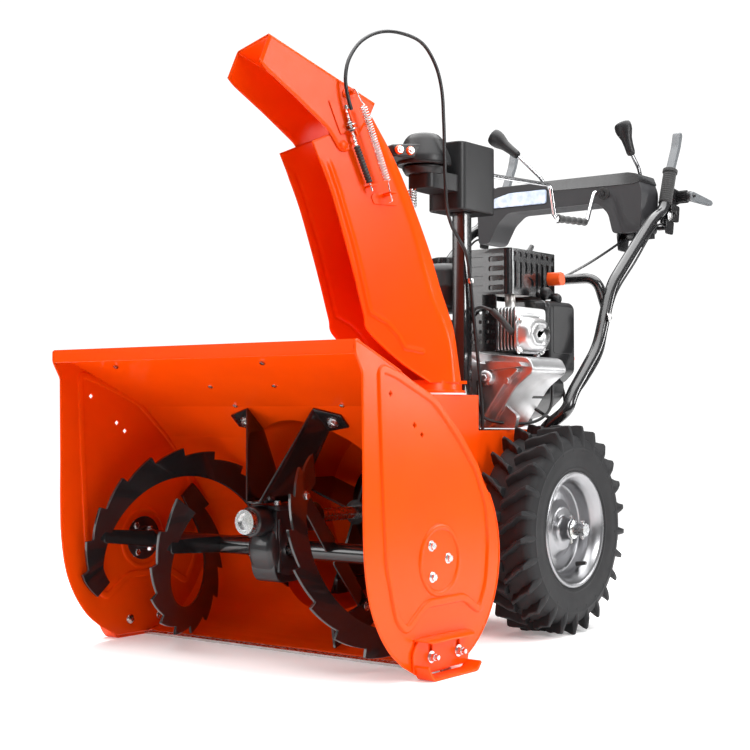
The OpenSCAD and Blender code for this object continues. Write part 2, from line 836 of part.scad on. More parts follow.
// Bracket behind the bend, with the clutch lever's pin
module clutch_bracket() {
    slab_x(handle_x - 4, handle_x + 4) polygon([[1284, 876], [1322, 872], [1346, 896], [1346, 918], [1316, 922]]);
    rod_x(handle_x - 32, handle_x + 6, clutch_y, clutch_z, 4);
}

module handlebar_left() {
    color(rubber) place() {
        handlebar();
        clutch_bracket();
        slab_x(handle_x + 2, handle_x + 8) polygon([[1310, 922], [1330, 922], [1372, 932], [1372, 952], [1330, 958]]);
        rod_x(handle_x + 2, handle_x + 50, thumb_y, thumb_z, 4);
    }
}

module handlebar_right() {
    color(rubber) place() mirror([1, 0, 0]) {
        handlebar();
        clutch_bracket();
    }
}

module cross_brace() {
    x = handle_x - handle_r;
    color(rubber) place() difference() {
        swept_tube(rounded([[-x, 1036, 668], [-x + 6, 1012, 728], [x - 6, 1012, 728], [x, 1036, 668]], 30),
            11, 16, [0, 1, 0]);
        each_side() handlebar(handle_r + skin_gap);
    }
}

module console() {
    y0 = 1236;
    y1 = 1322;
    color(dark) place() difference() {
        slab_y(y0, y1) polygon([[-222, 852], [-192, 852], [-165, 900], [-135, 924], [112, 926],
            [138, 900], [150, 852], [222, 852], [226, 948], [212, 985], [190, 990], [-170, 990],
            [-205, 968], [-226, 940]]);
        slab_y(y0 + 4, y1 - 4) polygon([[-216, 848], [-200, 848], [-170, 906], [-138, 930], [116, 932],
            [146, 904], [156, 848], [216, 848], [220, 946], [208, 980], [188, 985], [-168, 985],
            [-202, 964], [-220, 938]]);
        block([-60 - 14, 1262, 980], [-60 + 14, 1318, 1000]);
        block([190, 1256, 978], [206, 1314, 1000]);
        rod_y(y0 - 9, y0 + 9, 128, 947, 6);
        block([-184, y0 - 1, 938], [-26, y0 + 2, 972]);
        each_side() handlebar(handle_r + skin_gap);
    }
}

module headlight_lens() {
    color([0.8, 0.9, 1.0]) place() block([-183.6, 1232, 938.4], [-26.4, 1237.6, 971.6]);
}

module control_knob() {
    hull() {
        sphere(9, $fn = 24);
        translate([0, 0, 58]) scale([1, 0.55, 1]) sphere(18, $fn = 24);
    }
}

module speed_lever() {
    color(rubber) place() {
        swept_tube(rounded([[198, lever_y, lever_z], [198, 1282, 1000], [205, 1222, 1034]], 14), 4.5, 10);
        translate([205, 1222, 1034]) rotate([0, -18, 0]) control_knob();
        rod_x(190, 197.9, lever_y, lever_z, 12);
    }
}

module deflector_lever() {
    color(rubber) place() {
        swept_tube(rounded([[-60, lever_y, lever_z], [-60, 1288, 1000], [-104, 1224, 1064]], 14), 4.5, 10);
        translate([-104, 1224, 1064]) rotate([0, -52, 0]) control_knob();
        rod_x(-59.9, -52, lever_y, lever_z, 12);
    }
}

// Clutch paddle standing above the grip, turning on a pin in the handlebar bracket
module clutch_lever() {
    difference() {
        union() {
            slab_x(handle_x - 30, handle_x - 4.4) polygon([[1334, 900], [1344, 906], [1374, 990],
                [1416, 1068], [1426, 1104], [1414, 1108], [1402, 1070], [1364, 996], [1330, 914]]);
            rod_x(handle_x - 30, handle_x - 4.4, clutch_y, clutch_z, 8);
        }
        rod_x(handle_x - 50, handle_x, clutch_y, clutch_z, 4 + run_gap);
    }
}

module clutch_lever_left() {
    color([0.45, 0.47, 0.48]) place() clutch_lever();
}

module clutch_lever_right() {
    color([0.45, 0.47, 0.48]) place() mirror([1, 0, 0]) clutch_lever();
}

// Small lever on a ribbed pivot outside the left grip
module thumb_lever() {
    color([0.45, 0.47, 0.48]) place() {
        difference() {
            union() {
                rod_x(handle_x + 9, handle_x + 46, thumb_y, thumb_z, 15);
                slab_x(handle_x + 34, handle_x + 46) polygon([[thumb_y, thumb_z - 9], [1468, 931],
                    [1474, 937], [1470, 943], [thumb_y, thumb_z + 10]]);
            }
            rod_x(handle_x, handle_x + 60, thumb_y, thumb_z, 4 + run_gap);
        }
    }
}

// Two cables from the clutch brackets down behind the handlebars
left_cable = [[250, 1318, 868], [250, 1258, 862], [250, 1152, 772], [250, 1064, 698], [250, 1024, 630],
    [248, 998, 562], [240, 945, 502], [225, 908, 460], [205, 896, 425], [190, 892, 395], [183, 890, 360],
    [178, 884, 330]];

module control_cables() {
    color(rubber) place() each_side() swept_tube(left_cable, 2.5, 8);
}

housing_wrap();
side_plate_left();
side_plate_right();
impeller_drum();
scraper_bar();
housing_bolts();
gear_case();
gear_case_cap();
support_bracket();
auger_bearings();
skid_shoe_left();
skid_shoe_right();
slip_ring();
auger_left();
auger_right();
auger_shaft();
worm_gear();
impeller();
impeller_shaft();
impeller_pulley();
chute();
deflector_cap();
cable_end_fitting();
deflector_spring();
deflector_cable();
gear_head_cover();
gear_head_base();
chute_post();
crank_rod();
crank_grip();
traction_frame();
belt_cover();
drive_belt();
axle();
tyre_left();
tyre_right();
rim_left();
rim_right();
crankcase();
cylinder_head();
valve_cover();
muffler();
muffler_guard();
blower_housing();
fuel_tank();
fuel_cap();
recoil_handle();
primer_bulb();
choke_knob();
handlebar_left();
handlebar_right();
cross_brace();
console();
headlight_lens();
speed_lever();
deflector_lever();
clutch_lever_left();
clutch_lever_right();
thumb_lever();
control_cables();
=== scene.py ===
"""Two stage snowblower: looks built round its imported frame.

The shapes are worked out in millimetres, with Y counted back from the front lip of the auger housing,
and `row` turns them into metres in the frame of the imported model.
"""
import math

import bmesh
import bpy
import numpy as np
from mathutils import Matrix


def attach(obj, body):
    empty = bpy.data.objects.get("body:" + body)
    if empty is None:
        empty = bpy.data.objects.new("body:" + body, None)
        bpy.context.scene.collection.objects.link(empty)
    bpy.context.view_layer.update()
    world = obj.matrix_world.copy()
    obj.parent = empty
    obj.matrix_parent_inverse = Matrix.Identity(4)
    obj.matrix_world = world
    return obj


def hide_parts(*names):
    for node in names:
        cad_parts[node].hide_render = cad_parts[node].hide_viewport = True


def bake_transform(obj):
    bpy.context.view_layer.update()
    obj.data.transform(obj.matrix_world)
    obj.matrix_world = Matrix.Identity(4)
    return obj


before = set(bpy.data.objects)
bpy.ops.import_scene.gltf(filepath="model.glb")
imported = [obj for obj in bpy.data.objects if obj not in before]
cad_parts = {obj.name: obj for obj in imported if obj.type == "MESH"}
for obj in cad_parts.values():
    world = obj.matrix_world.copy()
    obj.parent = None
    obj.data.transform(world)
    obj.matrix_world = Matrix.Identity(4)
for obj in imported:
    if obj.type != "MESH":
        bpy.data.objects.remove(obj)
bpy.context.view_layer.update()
LIP_Y = 737.0
AUGER_Y, AUGER_Z = 227, 190
AXLE_Y, AXLE_Z = 742, 206
CHUTE_X, CHUTE_Y = 112, 530
CHUTE_HEADING = math.radians(-115)
CRANK_TILT = math.radians(2.42)


# ---- frames ----

def row(points):
    """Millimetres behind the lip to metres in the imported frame: y less 737, all over 1000."""
    return (np.asarray(points, float) - [0, LIP_Y, 0]) / 1000


def on_chute(points):
    """Forward, left and up of the chute: a turn by its heading about its upright axis."""
    u, s, z = np.moveaxis(np.asarray(points, float), -1, 0)
    c, d = math.cos(CHUTE_HEADING), math.sin(CHUTE_HEADING)
    return np.stack([CHUTE_X + u * c - s * d, CHUTE_Y + u * d + s * c, z], -1)


def shape_on_chute(shape):
    """A shape of the chute's frame moved to the machine's."""
    points, faces = shape
    return on_chute(points), faces


def on_crank(points):
    """Points along the crank rod: a tilt of 2.42 degrees about X at its front end."""
    x, y, z = np.moveaxis(np.asarray(points, float), -1, 0)
    c, d = math.cos(CRANK_TILT), math.sin(CRANK_TILT)
    return np.stack([128 + x, 716 + y * c - z * d, 925 + y * d + z * c], -1)


def other_side(shape):
    """The same shape with X turned to -X; its faces are turned right when it is made."""
    points, faces = shape
    return points * [-1, 1, 1], faces


SIDES = (("left", lambda shape: shape), ("right", other_side))


# ---- shapes ----

def unit(v):
    """Each vector divided by its length."""
    v = np.asarray(v, float)
    return v / np.linalg.norm(v, axis=-1, keepdims=True)


def quads(nu, nv, round_u=False, round_v=False):
    """Corners of the quads of an nu by nv grid: (i, j), (i+1, j), (i+1, j+1), (i, j+1)."""
    i = np.arange(nu if round_u else nu - 1)[:, None]
    j = np.arange(nv if round_v else nv - 1)[None, :]
    k, m = (i + 1) % nu, (j + 1) % nv
    return np.stack([i * nv + j, k * nv + j, k * nv + m, i * nv + m], -1).reshape(-1, 4).tolist()


def grid(points, round_u=False, round_v=False):
    """A surface through a grid of points."""
    points = np.asarray(points, float)
    nu, nv = points.shape[:2]
    return points.reshape(-1, 3), quads(nu, nv, round_u, round_v)


def merge(*shapes):
    """Shapes put together as one, without joining their points."""
    points, faces, start = [], [], 0
    for p, f in shapes:
        points.append(np.asarray(p, float))
        faces += [[i + start for i in face] for face in f]
        start += len(p)
    return np.concatenate(points), faces


def loft(rings):
    """A closed skin over rings of equal counts, with a flat face on the first and the last."""
    rings = np.asarray(rings, float)
    n, m = rings.shape[:2]
    return rings.reshape(-1, 3), quads(n, m, round_v=True) + [
        list(range(m)), list(range((n - 1) * m, n * m))]


def slab(outline, low, high, across="x"):
    """A flat outline carried straight from low to high along the named axis."""
    a, b = np.asarray(outline, float).T
    order = {"x": lambda t: (t, a, b), "y": lambda t: (a, t, b), "z": lambda t: (a, b, t)}[across]
    return loft([np.stack(order(np.full(len(a), float(t))), -1) for t in (low, high)])


def oblong(x0, y0, x1, y1):
    """Corners of an upright oblong between two of its corners."""
    return [[x0, y0], [x1, y0], [x1, y1], [x0, y1]]


def box(low, high):
    """A box from its lowest corner to its highest."""
    (x0, y0, z0), (x1, y1, z1) = low, high
    return slab(oblong(x0, y0, x1, y1), z0, z1, "z")


def rounded(points, radius, steps=6, closed=False):
    """A line whose corners turn on a parabola that starts `radius` before each of them."""
    p = np.asarray(points, float)
    before, after = np.roll(p, 1, 0), np.roll(p, -1, 0)
    reach = np.minimum(radius, 0.48 * np.minimum(
        np.linalg.norm(p - before, axis=1), np.linalg.norm(after - p, axis=1)))[:, None]
    a, b = p + unit(before - p) * reach, p + unit(after - p) * reach
    f = np.linspace(0, 1, steps)[None, :, None]
    bends = (1 - f) ** 2 * a[:, None] + 2 * f * (1 - f) * p[:, None] + f ** 2 * b[:, None]
    if closed:
        return bends.reshape(-1, p.shape[1])
    return np.concatenate([p[:1], bends[1:-1].reshape(-1, p.shape[1]), p[-1:]])


def through(points, count):
    """A smooth curve through points: a cubic between each two, its slope that of their neighbours."""
    p = np.asarray(points, float)
    slope = np.gradient(p, axis=0)
    t = np.linspace(0, len(p) - 1, count)
    i = np.minimum(t.astype(int), len(p) - 2)
    f = (t - i).reshape((-1,) + (1,) * (p.ndim - 1))
    return (p[i] * (2 * f ** 3 - 3 * f ** 2 + 1) + p[i + 1] * (3 * f ** 2 - 2 * f ** 3)
            + slope[i] * (f ** 3 - 2 * f ** 2 + f) + slope[i + 1] * (f ** 3 - f ** 2))


def tube(path, radius, sides=16, aside=(0.96, 0.28, 0.02)):
    """A circle of the given radius carried along a path, square to it at each point."""
    path = np.asarray(path, float)
    along = unit(np.gradient(path, axis=0))
    u = unit(np.cross(along, aside))
    v = np.cross(along, u)
    a = np.linspace(0, 2 * math.pi, sides, endpoint=False)[None, :, None]
    r = np.broadcast_to(np.asarray(radius, float), len(path))[:, None, None]
    return loft(path[:, None] + r * (np.cos(a) * u[:, None] + np.sin(a) * v[:, None]))


def turned(profile, base, axis, count=48, closed=False):
    """A profile of [radius, height] spun about an axis from base; a closed one makes a ring."""
    p, a = np.asarray(profile, float), unit(axis)
    u = unit(np.cross([0, 0, 1] if abs(a[2]) < 0.9 else [1, 0, 0], a))
    v = np.cross(a, u)
    t = np.linspace(0, 2 * math.pi, count, endpoint=False)[:, None]
    ring = (np.cos(t) * u + np.sin(t) * v)[:, None]
    return grid(np.asarray(base, float) + p[None, :, 1:] * a + p[None, :, :1] * ring, True, closed)


def bolt(base, axis, across=13, height=6, washer=0):
    """Hexagon head with a turned-off corner, on a washer."""
    r = across / 2 / math.cos(math.pi / 6)
    head = turned([[0, height], [r * 0.86, height], [r, height - 1], [r, washer], [0, washer]], base, axis,
                  6)
    if not washer:
        return head
    return merge(head, turned([[0, washer], [r * 1.4, washer], [r * 1.45, washer - 0.4],
                               [r * 1.45, 0], [0, 0]], base, axis, 28))


def arc(cy, cz, radius, start, end, count):
    """Points of an arc, angles in degrees."""
    a = np.radians(np.linspace(start, end, count))
    return np.stack([cy + radius * np.cos(a), cz + radius * np.sin(a)], -1)


def gap_to(points, line):
    """Distance from each flat point to a line of points."""
    line = np.asarray(line, float)
    d = np.diff(line, axis=0)
    w = np.asarray(points, float)[..., None, :] - line[:-1]
    f = np.clip((w * d).sum(-1) / (d * d).sum(-1), 0, 1)
    return np.linalg.norm(w - f[..., None] * d, axis=-1).min(-1)


def bead(points, line, width, depth):
    """Depth of a pressed bead: a cosine hill of the given half width along a line."""
    g = np.minimum(gap_to(points, line) / width, 1)
    return depth * 0.5 * (1 + np.cos(math.pi * g))


# ---- making pieces ----

def add_object(name, data):
    """An object in the scene that shows a mesh, a lamp or a camera."""
    item = bpy.data.objects.new(name, data)
    bpy.context.scene.collection.objects.link(item)
    return item


def clean_mesh(name, shape):
    """A mesh from points in millimetres: doubles merged, edges without length dissolved, normals outward."""
    points, faces = shape
    mesh = bpy.data.meshes.new(name)
    mesh.from_pydata(row(points).tolist(), [], faces)
    bm = bmesh.new()
    bm.from_mesh(mesh)
    bmesh.ops.remove_doubles(bm, verts=bm.verts, dist=2e-6)
    bmesh.ops.dissolve_degenerate(bm, edges=bm.edges, dist=1e-6)
    bmesh.ops.recalc_face_normals(bm, faces=bm.faces)
    bm.to_mesh(mesh)
    bm.free()
    return mesh


def shade_smooth(mesh, angle):
    """Smooth shading with sharp edges where faces meet at more than the angle in degrees."""
    mesh.polygons.foreach_set("use_smooth", [True] * len(mesh.polygons))
    mesh.set_sharp_from_angle(angle=math.radians(angle))


def make(name, shape, body, finish, stands_for=(), bevel=0, steps=2, smooth=35, wall=0):
    """A mesh piece from points in millimetres, with the finish as its material; wall and bevel are live
    modifiers, also in millimetres."""
    mesh = clean_mesh(name, shape)
    shade_smooth(mesh, smooth)
    piece = add_object(name, mesh)
    mesh.materials.append(finish)
    if wall:
        shell = piece.modifiers.new("wall", "SOLIDIFY")
        shell.thickness, shell.offset = wall / 1000, 0
    if bevel:
        edge = piece.modifiers.new("edges", "BEVEL")
        edge.width, edge.segments, edge.limit_method = bevel / 1000, steps, "ANGLE"
        edge.angle_limit = math.radians(40)
        edge.use_clamp_overlap = True
    if body:
        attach(piece, body)
    if stands_for:
        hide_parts(*([stands_for] if isinstance(stands_for, str) else stands_for))
    return piece


def cut(piece, *cutters):
    """Takes closed shapes away from a piece and keeps the result as its mesh."""
    tool = add_object("cutter", clean_mesh("cutter", merge(*cutters)))
    others = [(m, m.show_viewport) for m in piece.modifiers]
    for m, _ in others:
        m.show_viewport = False
    taken = piece.modifiers.new("cut", "BOOLEAN")
    taken.operation, taken.solver, taken.object = "DIFFERENCE", "EXACT", tool
    result = bpy.data.meshes.new_from_object(piece.evaluated_get(bpy.context.evaluated_depsgraph_get()))
    piece.modifiers.remove(taken)
    for m, shown in others:
        m.show_viewport = shown
    bpy.data.objects.remove(tool)
    piece.data = result
    shade_smooth(result, 35)


# ---- finishes ----

def finish(name, colour, rough, metal=0.0, coat=0.0, second=None, patch=8.0, grain=900.0, depth=0.05,
           rough_spread=0.06, sheen=0.0, speck=0.0, gleam=0.5):
    """A principled finish: cloudy colour and roughness on object coordinates, and a fine bump."""
    m = bpy.data.materials.new(name)
    m.use_nodes = True
    nodes, link = m.node_tree.nodes, m.node_tree.links.new
    shader = nodes["Principled BSDF"]
    shader.inputs["Metallic"].default_value = metal
    shader.inputs["Coat Weight"].default_value = coat
    shader.inputs["Specular IOR Level"].default_value = gleam
    shader.inputs["Coat Roughness"].default_value = 0.06
    shader.inputs["Sheen Weight"].default_value = sheen
    place = nodes.new("ShaderNodeTexCoord").outputs["Object"]

    def noise(scale, detail):
        n = nodes.new("ShaderNodeTexNoise")
        n.inputs["Scale"].default_value = scale
        n.inputs["Detail"].default_value = detail
        link(place, n.inputs["Vector"])
        return n.outputs["Fac"]

    def ramp(value, low, high, a, b):
        r = nodes.new("ShaderNodeValToRGB")
        r.color_ramp.elements[0].position, r.color_ramp.elements[1].position = low, high
        r.color_ramp.elements[0].color, r.color_ramp.elements[1].color = (*a, 1), (*b, 1)
        link(value, r.inputs["Fac"])
        return r.outputs["Color"]

    cloud = noise(patch, 4)
    other = second or tuple(c * 0.86 for c in colour)
    tone = ramp(cloud, 0.35, 0.68, colour, other)
    if speck:
        mix = nodes.new("ShaderNodeMix")
        mix.data_type = "RGBA"
        dots = ramp(noise(grain * 0.5, 2), 0.62, 0.7, (0, 0, 0), (speck, speck, speck))
        link(dots, mix.inputs["Factor"])
        link(tone, mix.inputs["A"])
        mix.inputs["B"].default_value = (*[min(1, c * 1.9 + 0.02) for c in colour], 1)
        tone = mix.outputs["Result"]
    link(tone, shader.inputs["Base Color"])
    scale = nodes.new("ShaderNodeMapRange")
    scale.inputs["To Min"].default_value = max(0.02, rough - rough_spread)
    scale.inputs["To Max"].default_value = min(1, rough + rough_spread)
    link(noise(patch * 5, 5), scale.inputs["Value"])
    link(scale.outputs["Result"], shader.inputs["Roughness"])
    if depth:
        bump = nodes.new("ShaderNodeBump")
        bump.inputs["Strength"].default_value = 0.35
        bump.inputs["Distance"].default_value = depth / 1000
        link(noise(grain, 2), bump.inputs["Height"])
        link(bump.outputs["Normal"], shader.inputs["Normal"])
    return m


ORANGE_COAT = finish("orange_powder_coat", (0.90, 0.070, 0.0012), 0.24, second=(0.86, 0.065, 0.0012),
                     grain=330, depth=0.3, rough_spread=0.05, gleam=0.13)
BLACK_COAT = finish("black_powder_coat", (0.012, 0.012, 0.013), 0.24, coat=0.6, grain=420, depth=0.2)
BLACK_PLASTIC = finish("black_moulded_plastic", (0.013, 0.013, 0.014), 0.4, grain=1500, depth=0.14,
                       speck=0.1, gleam=0.4)
CONSOLE_PLASTIC = finish("console_plastic", (0.038, 0.038, 0.041), 0.42, grain=1600, depth=0.12, speck=0.15)
LEVER_GREY = finish("lever_grey_plastic", (0.16, 0.17, 0.18), 0.38, grain=1300, depth=0.1)
SOFT_GRIP = finish("soft_grip_rubber", (0.014, 0.014, 0.014), 0.6, grain=1100, depth=0.25, sheen=0.2)
TYRE_RUBBER = finish("tyre_rubber", (0.013, 0.013, 0.014), 0.6, second=(0.02, 0.02, 0.021), grain=700,
                     depth=0.4, rough_spread=0.1, gleam=0.22)
ZINC = finish("zinc_plate", (0.72, 0.73, 0.75), 0.26, metal=1, second=(0.6, 0.6, 0.57), patch=30,
              grain=1200, depth=0.06, rough_spread=0.1)
BRIGHT_ROD = finish("bright_steel_rod", (0.78, 0.78, 0.8), 0.17, metal=1, patch=40, grain=1500, depth=0.04)
CAST_BLACK = finish("painted_casting", (0.016, 0.016, 0.018), 0.36, coat=0.3, grain=260, depth=0.6)
CAST_ALUMINIUM = finish("cast_aluminium", (0.66, 0.66, 0.67), 0.4, metal=1, second=(0.5, 0.5, 0.5),
                        patch=14, grain=480, depth=0.5, rough_spread=0.12)
# Silver rim paint whose colour is darkened to a dark grey: painted shade standing in for the shade that
# falls in the wheel's recess.
SHADE_DARKENED_RIM = finish("silver_rim_paint_with_painted_shade", (0.3, 0.3, 0.31), 0.3, metal=1, grain=500, depth=0.1)
BRONZE = finish("worm_bronze", (0.62, 0.42, 0.17), 0.3, metal=1)
NYLON = finish("white_nylon", (0.8, 0.8, 0.78), 0.4)
CABLE_SLEEVE = finish("cable_sleeve", (0.013, 0.013, 0.014), 0.38, grain=900, depth=0.08)
HOT_STEEL = finish("heated_steel", (0.66, 0.65, 0.63), 0.34, metal=0.6, second=(0.5, 0.47, 0.44), patch=20)
LAMP_LENS = finish("lamp_lens", (0.62, 0.75, 0.95), 0.08, coat=1.0, second=(0.35, 0.45, 0.62), patch=60)
ORANGE_PLASTIC = finish("orange_plastic", (0.88, 0.10, 0.01), 0.35, coat=0.2)

for kept, material in {"housing_wrap": ORANGE_COAT, "impeller_drum": ORANGE_COAT,
                       "traction_frame": ORANGE_COAT, "side_plate_left": ORANGE_COAT,
                       "side_plate_right": ORANGE_COAT, "skid_shoe_left": ORANGE_COAT,
                       "skid_shoe_right": ORANGE_COAT, "chute": ORANGE_COAT, "deflector_cap": ORANGE_COAT,
                       "scraper_bar": ZINC, "housing_bolts": ZINC, "gear_case": CAST_BLACK,
                       "gear_case_cap": ZINC, "support_bracket": BLACK_COAT, "auger_bearings": ZINC,
                       "slip_ring": NYLON, "auger_left": BLACK_COAT, "auger_right": BLACK_COAT,
                       "auger_shaft": ZINC, "worm_gear": BRONZE, "impeller": BLACK_COAT,
                       "impeller_shaft": ZINC, "impeller_pulley": ZINC, "cable_end_fitting": BLACK_COAT,
                       "deflector_spring": ZINC, "deflector_cable": CABLE_SLEEVE,
                       "gear_head_cover": BLACK_PLASTIC, "gear_head_base": BLACK_PLASTIC,
                       "chute_post": BLACK_COAT, "crank_rod": BRIGHT_ROD, "crank_grip": SOFT_GRIP,
                       "belt_cover": BLACK_PLASTIC, "drive_belt": SOFT_GRIP, "axle": ZINC,
                       "tyre_left": TYRE_RUBBER, "tyre_right": TYRE_RUBBER, "rim_left": SHADE_DARKENED_RIM,
                       "rim_right": SHADE_DARKENED_RIM, "crankcase": CAST_ALUMINIUM,
                       "cylinder_head": CAST_ALUMINIUM, "valve_cover": CAST_ALUMINIUM, "muffler": HOT_STEEL,
                       "muffler_guard": BLACK_COAT, "blower_housing": BLACK_PLASTIC,
                       "fuel_tank": BLACK_PLASTIC, "fuel_cap": BLACK_PLASTIC,
                       "recoil_handle": BLACK_PLASTIC, "primer_bulb": ORANGE_PLASTIC,
                       "choke_knob": BLACK_PLASTIC, "handlebar_left": BLACK_COAT,
                       "handlebar_right": BLACK_COAT, "cross_brace": BLACK_COAT, "console": CONSOLE_PLASTIC,
                       "headlight_lens": LAMP_LENS, "speed_lever": BLACK_PLASTIC,
                       "deflector_lever": BLACK_PLASTIC, "clutch_lever_left": LEVER_GREY,
                       "clutch_lever_right": LEVER_GREY, "thumb_lever": LEVER_GREY,
                       "control_cables": CABLE_SLEEVE}.items():
    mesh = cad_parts[kept].data
    mesh.materials.clear()
    mesh.materials.append(material)


# ---- auger housing ----

PANEL_LINE = rounded([[64, 509], [110, 497], [215, 456], [290, 393], [342, 338], [374, 274], [382, 210],
                      [374, 140], [350, 93], [300, 122], [190, 121], [134, 82], [110, 104], [84, 193],
                      [73, 340]], 15, 7, True)
PLATE_EDGE = np.concatenate([rounded([[233, 452.5], [115, 505.5], [1, 551], [1, 530], [19, 500], [22, 344]],
                                     5, 4),
                             through([[22, 330], [22.5, 270], [26, 200], [38, 140], [60, 93], [90, 55],
                                      [125, 28]], 40),
                             rounded([[140, 16], [167, 8.5], [245, 8.5], [280, 12]], 6, 4)[1:-1],
                             arc(AUGER_Y, AUGER_Z, 187, -68, 34, 60), [[290, 401]]])


def raised_line(line, base, half, height):
    """Closed bead along a line in the plate's plane: at each point s the section (o, h) lies at
    s + o n(s), with n the line's normal, and h out from the base."""
    along = unit(np.roll(line, -1, 0) - np.roll(line, 1, 0))
    normal = np.stack([-along[:, 1], along[:, 0]], 1)
    section = [(-half, -1), (-half, 0.2), (-half + 1.9, height * 0.82), (-half + 3.4, height),
               (half - 3.4, height), (half - 1.9, height * 0.82), (half, 0.2), (half, -1)]
    rings = np.stack([np.concatenate([np.full((len(line), 1), base + h), line + o * normal], 1)
                      for o, h in section], 1)
    return grid(rings, True, True)


def plate_beads():
    """Beads of a side plate: one along the panel line, one about the bearing, on both faces."""
    circle = arc(231, 190, 56, 0, 360, 73)[:-1]
    return merge(raised_line(PANEL_LINE, 356, 7.6, 4.0), raised_line(circle, 356, 5.4, 2.6),
                 raised_line(PANEL_LINE, 353.4, 7.6, -3.2), raised_line(circle, 353.4, 5.4, -2.2))


def square_hole(y, z, half=5.6):
    """Cutter for a square hole that stands on its corner."""
    return slab([[y - half, z], [y, z - half], [y + half, z], [y, z + half]], 340, 370)


PLATE_HOLES = [square_hole(y, z) for y, z in ((92, 467), (158, 416), (179, 400))]
for side, turn in SIDES:
    cut(make(f"side_panel_{side}", turn(slab(PLATE_EDGE, 353.2, 356)), "chassis", ORANGE_COAT,
             f"side_plate_{side}", smooth=20), *[turn(h) for h in PLATE_HOLES])
    make(f"side_panel_{side}_beads", turn(plate_beads()), "chassis", ORANGE_COAT, smooth=24)
    edge = np.insert(PLATE_EDGE[-2:0:-1], 0, 355.6, axis=1)
    make(f"side_panel_{side}_rolled_edge", turn(tube(edge, 1.9, 10, (1, 0, 0))), "chassis", ORANGE_COAT,
         smooth=60)


def foot_line(rise):
    """The foot's thin section: flat on the ground with an end turned up at each side."""
    low = np.array([[149, 24], [156, 12], [164, 2.5], [170, 0.2], [290, 0.2], [297, 2], [307, 13]], float)
    up = np.array([[304, 17], [294, 6.5], [289, rise], [171, rise], [167, 6.5], [160, 15], [152, 27]],
                  float)
    return np.concatenate([low, up])


for side, turn in SIDES:
    wall = slab(rounded([[150, 10], [306, 10], [310, 30], [306, 66], [162, 66], [146, 44]], 7, 5, True),
                356.8, 361)
    foot = loft([np.concatenate([np.full((14, 1), float(x)), foot_line(rise)], 1)
                 for x, rise in ((357, 5), (370, 5), (386, 5), (389.6, 4))])
    shelf = loft([[[x, y0, z], [x, y1, z], [x, y1, z + 3.4], [x, y0, z + 3.4]] for x, y0, y1, z in (
        (357, 152, 308, 63.5), (368, 154, 306, 63.5), (378, 162, 300, 62.5), (384, 168, 294, 59.5))])
    slots = [slab(np.concatenate([arc(y, 54, 5.6, 0, 180, 10), arc(y, 34, 5.6, 180, 360, 10)]), 350, 370)
             for y in (196, 276)]
    shoe = make(f"skid_shoe_{side}_wall", turn(wall), f"{side}_shoe", ORANGE_COAT, f"skid_shoe_{side}",
                bevel=1.0)
    cut(shoe, *[turn(s) for s in slots])
    make(f"skid_shoe_{side}_foot", turn(merge(foot, shelf)), f"{side}_shoe", ORANGE_COAT, bevel=1.0)


def housing_hardware():
    """Bearing, shoe and strap bolts: carriage heads outside the housing, nuts on washers at the shoes."""
    shapes = []
    for _, turn in SIDES:
        for y, z in ((206, 215), (255, 191), (209, 163)):
            shapes.append(turn(bolt([355.4, y, z], [1, 0, 0], 11, 7, 1.2)))
            shapes.append(turn(bolt([352.6, y, z], [-1, 0, 0], 12, 8, 1.4)))
        for y in (196, 276):
            shapes.append(turn(bolt([361.2, y, 34.4], [1, 0, 0], 12.4, 10, 2)))
            shapes.append(turn(turned([[0, 16.5], [4, 16], [4.6, 15], [4.6, 4], [0, 4]], [361.2, y, 34.4],
                                      [1, 0, 0], 20)))
            shapes.append(turn(turned([[0, 4.5], [5, 4], [8.6, 2], [9.4, 0], [0, 0]], [352.8, y, 34.4],
                                      [-1, 0, 0], 24)))
    tilt = math.radians(-41.8)
    up = np.array([0, -math.sin(tilt), math.cos(tilt)])
    for x in (-105, 105):
        at = np.array([x, 260, 424.0])
        shapes.append(bolt(at + up * 0.4, up, 14, 6, 1))
        shapes.append(bolt(at - up * 6.8, -up, 14, 8, 1.6))
        shapes.append(tube([at - up * 17, at - up * 12, at + up], 4, 12))
    return merge(*shapes)


make("housing_fasteners", housing_hardware(), "chassis", ZINC, "housing_bolts")


def bracket_wing(sign):
    """One wing of the bracket: a plate from a long foot on the gear case lid up to the short edge of its
    bolt tab, which lies along the sloping sheet."""
    foot = np.linspace([15, 158, 275.6], [15, 264, 275.6], 9)
    crest = np.linspace([80, 230, 443.5], [80, 276, 403], 9)
    tab = np.linspace([133, 244, 431.4], [133, 268, 410.2], 9)
    flat = np.linspace([-2, 158, 275.6], [-2, 264, 275.6], 9)
    rows = np.array([flat, foot, foot + (crest - foot) * 0.04, foot + (crest - foot) * 0.5,
                     foot + (crest - foot) * 0.97, crest, crest + (tab - crest) * 0.5, tab])
    return grid(rows * [sign, 1, 1])


make("support_strap", merge(bracket_wing(1), bracket_wing(-1)), "chassis", BLACK_COAT, "support_bracket",
     wall=4, bevel=0.6, smooth=20)
lip = rounded([[0.3, 528], [0.3, 537], [1.9, 539.5], [0.3, 542], [0.3, 549], [3, 551.8], [9, 552.2],
               [15, 548.5], [13.6, 545.4], [8, 548.6], [4.2, 547.6], [3.8, 528]], 1.4, 4, True)
make("housing_front_lip", slab(lip, -355, 355), "chassis", ORANGE_COAT, smooth=50)
make("lip_corner_welds", merge(*[box([x - 1, 1.5, 529], [x + 1, 11, 551.4]) for x in (-354, 354)]),
     "chassis", ORANGE_COAT, bevel=0.6)
ends = [turned([[12.7, 0], [40, 0], [42, 1.2], [42, 3.4], [24, 5], [22, 9], [12.7, 9]],
               [352.6 * s, AUGER_Y, AUGER_Z], [-s, 0, 0], 48, True) for s in (1, -1)]
make("shaft_end_bearings", merge(*ends), "chassis", CAST_BLACK, "auger_bearings")
